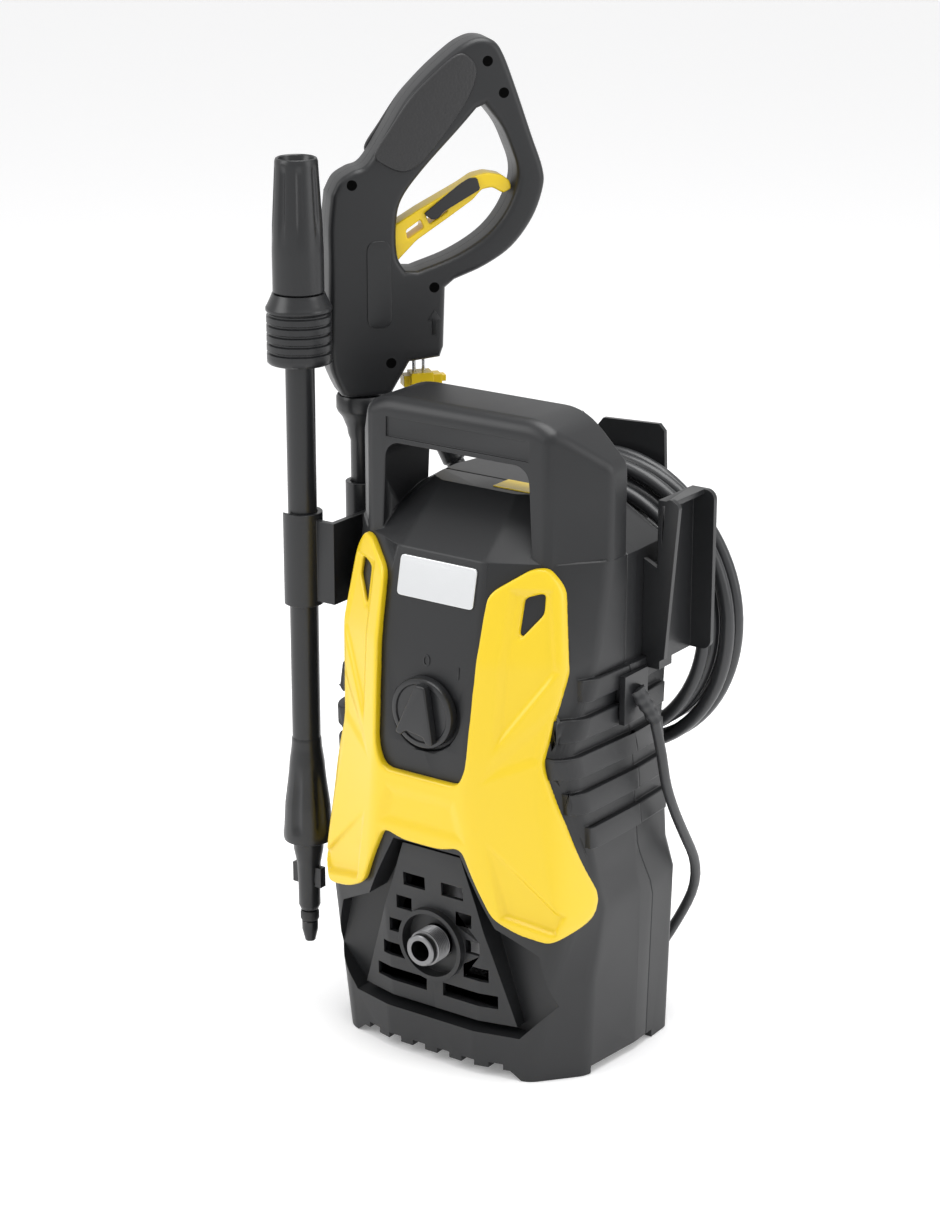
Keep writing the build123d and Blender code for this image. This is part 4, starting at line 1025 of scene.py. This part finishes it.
def ribbed(name, base, reach, length, ribs):
    """Tapered sleeve with soft rings: its radius falls along a line, less a row of cosine dips."""
    t = np.linspace(0, 1, 12 * ribs + 1)
    radius = base + (reach - base) * t - 0.55 * (0.5 - 0.5 * np.cos(2 * np.pi * ribs * t))
    profile = np.vstack([[(0, 0)], np.stack([radius, length * t], -1), [(0, length)]])
    return lathe(name, profile, (0, 0, 0), 40)


class WASHER_OT_cords(bpy.types.Operator):
    """High-pressure hose on its saddle, mains cord with its coil, and their ends"""
    bl_idname = "washer.cords"
    bl_label = "Hose and cord"

    def execute(self, context):
        look = context.scene.washer_cords
        fitting = [(0, -2), (5.8, -2), (5.8, 6.2), (7.0, 7), (7.4, 8), (7.4, 18), (6.8, 19),
                   (5.8, 19.4), (5.8, 29.2), (4.2, 29.6), (4.2, 35.2), (3.4, 36), (0, 36)]
        nut = [(0, -2), (5.8, -2), (5.8, 5), (11.6, 7), (12.4, 8), (12.4, 18), (11.4, 19),
               (5.8, 19.4), (5.8, 29.2), (4.2, 29.6), (4.2, 35.2), (3.4, 36), (0, 36)]

        def grooves(angle, height):
            """Fine grip grooves round the collar."""
            return 1 - 0.05 * (np.cos(18 * angle) > 0.4) * ((height > 8.5) & (height < 17.5))

        ends = joined("ends", along(lathe("a", fine(fitting, 1.5), (0, 0, 0), 72), HOSE_END,
                                    HOSE_END_WAY),
                      along(lathe("b", fine(nut, 1.5), (0, 0, 0), 108, grooves), HOSE_START,
                            HOSE_START_WAY))
        ends_piece = add_piece("hose_fittings", ends, dark_smooth(), "housing",
                               ("hose_ends",))
        line = hose_line()
        hose = curve_piece("hose", line, look.hose_radius, hose_rubber())
        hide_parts("hose_coil", "hose_tail")
        round(spline_length(line), 4)

        gland, first = Vector(GLAND), Vector(CORD_ROUTE[0])
        way = first - gland
        sleeve = along(ribbed("sleeve", 5.2, CORD_R + 1.0, way.length + 3.0, 4), GLAND, way)
        relief = add_piece("cord_sleeve", sleeve, cord_rubber(), "housing",
                           ("strain_relief",))
        turns = cord_line()
        lead = curve_piece("mains_cord", turns, look.cord_radius, cord_rubber())
        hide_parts("power_cord", "cord_coil")

        x, y, z = CORD_TAIL[-1]
        shell = fine([(0, 0), (5.0, 0), (5.4, 1), (7.4, 9), (9.4, 15), (13.6, 21), (16.4, 30),
                      (16.8, 34), (16.2, 36), (0, 36)], 2.0)

        def flats(angle, height):
            """Two flat sides for the fingers."""
            side = np.abs(np.sin(angle)) ** 4 * late(height, 10, 18)
            return 1 - 0.24 * side

        body = along(lathe("plug", shell, (0, 0, 0), 72, flats), (x, y, z), (1, 0, 0))
        pins = [along(lathe("pin", [(0, 35), (2.4, 35), (2.4, 52.5), (1.6, 53.5), (0, 53.5)],
                            (side, 0, 0), 20), (x, y, z), (1, 0, 0)) for side in (-9.5, 9.5)]
        plug = add_piece("plug", body, cord_rubber(), "housing",
                         ("mains_plug",))
        prongs = add_piece("plug_pins", joined("pins", *pins), bright_steel(), "housing")
        round(spline_length(turns), 4)
        return {"FINISHED"}


class WASHER_OT_insides(bpy.types.Operator):
    """Finishes of the motor, pump and other inner pieces"""
    bl_idname = "washer.insides"
    bl_label = "Inside pieces"

    def execute(self, context):
        paint(black_plastic(), "rotary_switch", "motor_bracket", "motor_end_cap", "cooling_fan",
              "pressure_switch", "carbon_brushes", "pump_feet", "piston_seals")
        paint(core_metal(), "motor_stator", "armature")
        paint(cast_metal(), "pump_head", "pump_housing")
        paint(bright_steel(), "motor_shaft", "swash_plate", "shaft_bearings", "pistons",
              "piston_springs", "pump_cradle")
        return {"FINISHED"}


class WASHER_PT_panel(bpy.types.Panel):
    """Shows the settings and a button for each group of pieces"""
    bl_idname = "WASHER_PT_panel"
    bl_label = "Pressure washer"
    bl_space_type = "VIEW_3D"
    bl_region_type = "UI"
    bl_category = "Washer"

    def draw(self, context):
        for group in ("washer_body", "washer_cords", "washer_stage"):
            settings = getattr(context.scene, group)
            for name in settings.__annotations__:
                self.layout.prop(settings, name)
        for operator in OPERATORS:
            self.layout.operator(operator.bl_idname)


OPERATORS = (WASHER_OT_stage, WASHER_OT_cords, WASHER_OT_housing, WASHER_OT_fittings,
             WASHER_OT_knob, WASHER_OT_outlet, WASHER_OT_lance, WASHER_OT_gun,
             WASHER_OT_insides)
CLASSES = (BodyLook, CordLook, StageLook, *OPERATORS, WASHER_PT_panel)


def register():
    """Registers the classes and the settings."""
    for item in CLASSES:
        bpy.utils.register_class(item)
    bpy.types.Scene.washer_body = PointerProperty(type=BodyLook)
    bpy.types.Scene.washer_cords = PointerProperty(type=CordLook)
    bpy.types.Scene.washer_stage = PointerProperty(type=StageLook)


def unregister():
    """Takes them away again."""
    del bpy.types.Scene.washer_body
    del bpy.types.Scene.washer_cords
    del bpy.types.Scene.washer_stage
    for item in reversed(CLASSES):
        bpy.utils.unregister_class(item)


def main():
    """Builds every piece in order."""
    register()
    for operator in OPERATORS:
        group, call = operator.bl_idname.split(".")
        getattr(getattr(bpy.ops, group), call)()


if __name__ == "__main__":
    main()
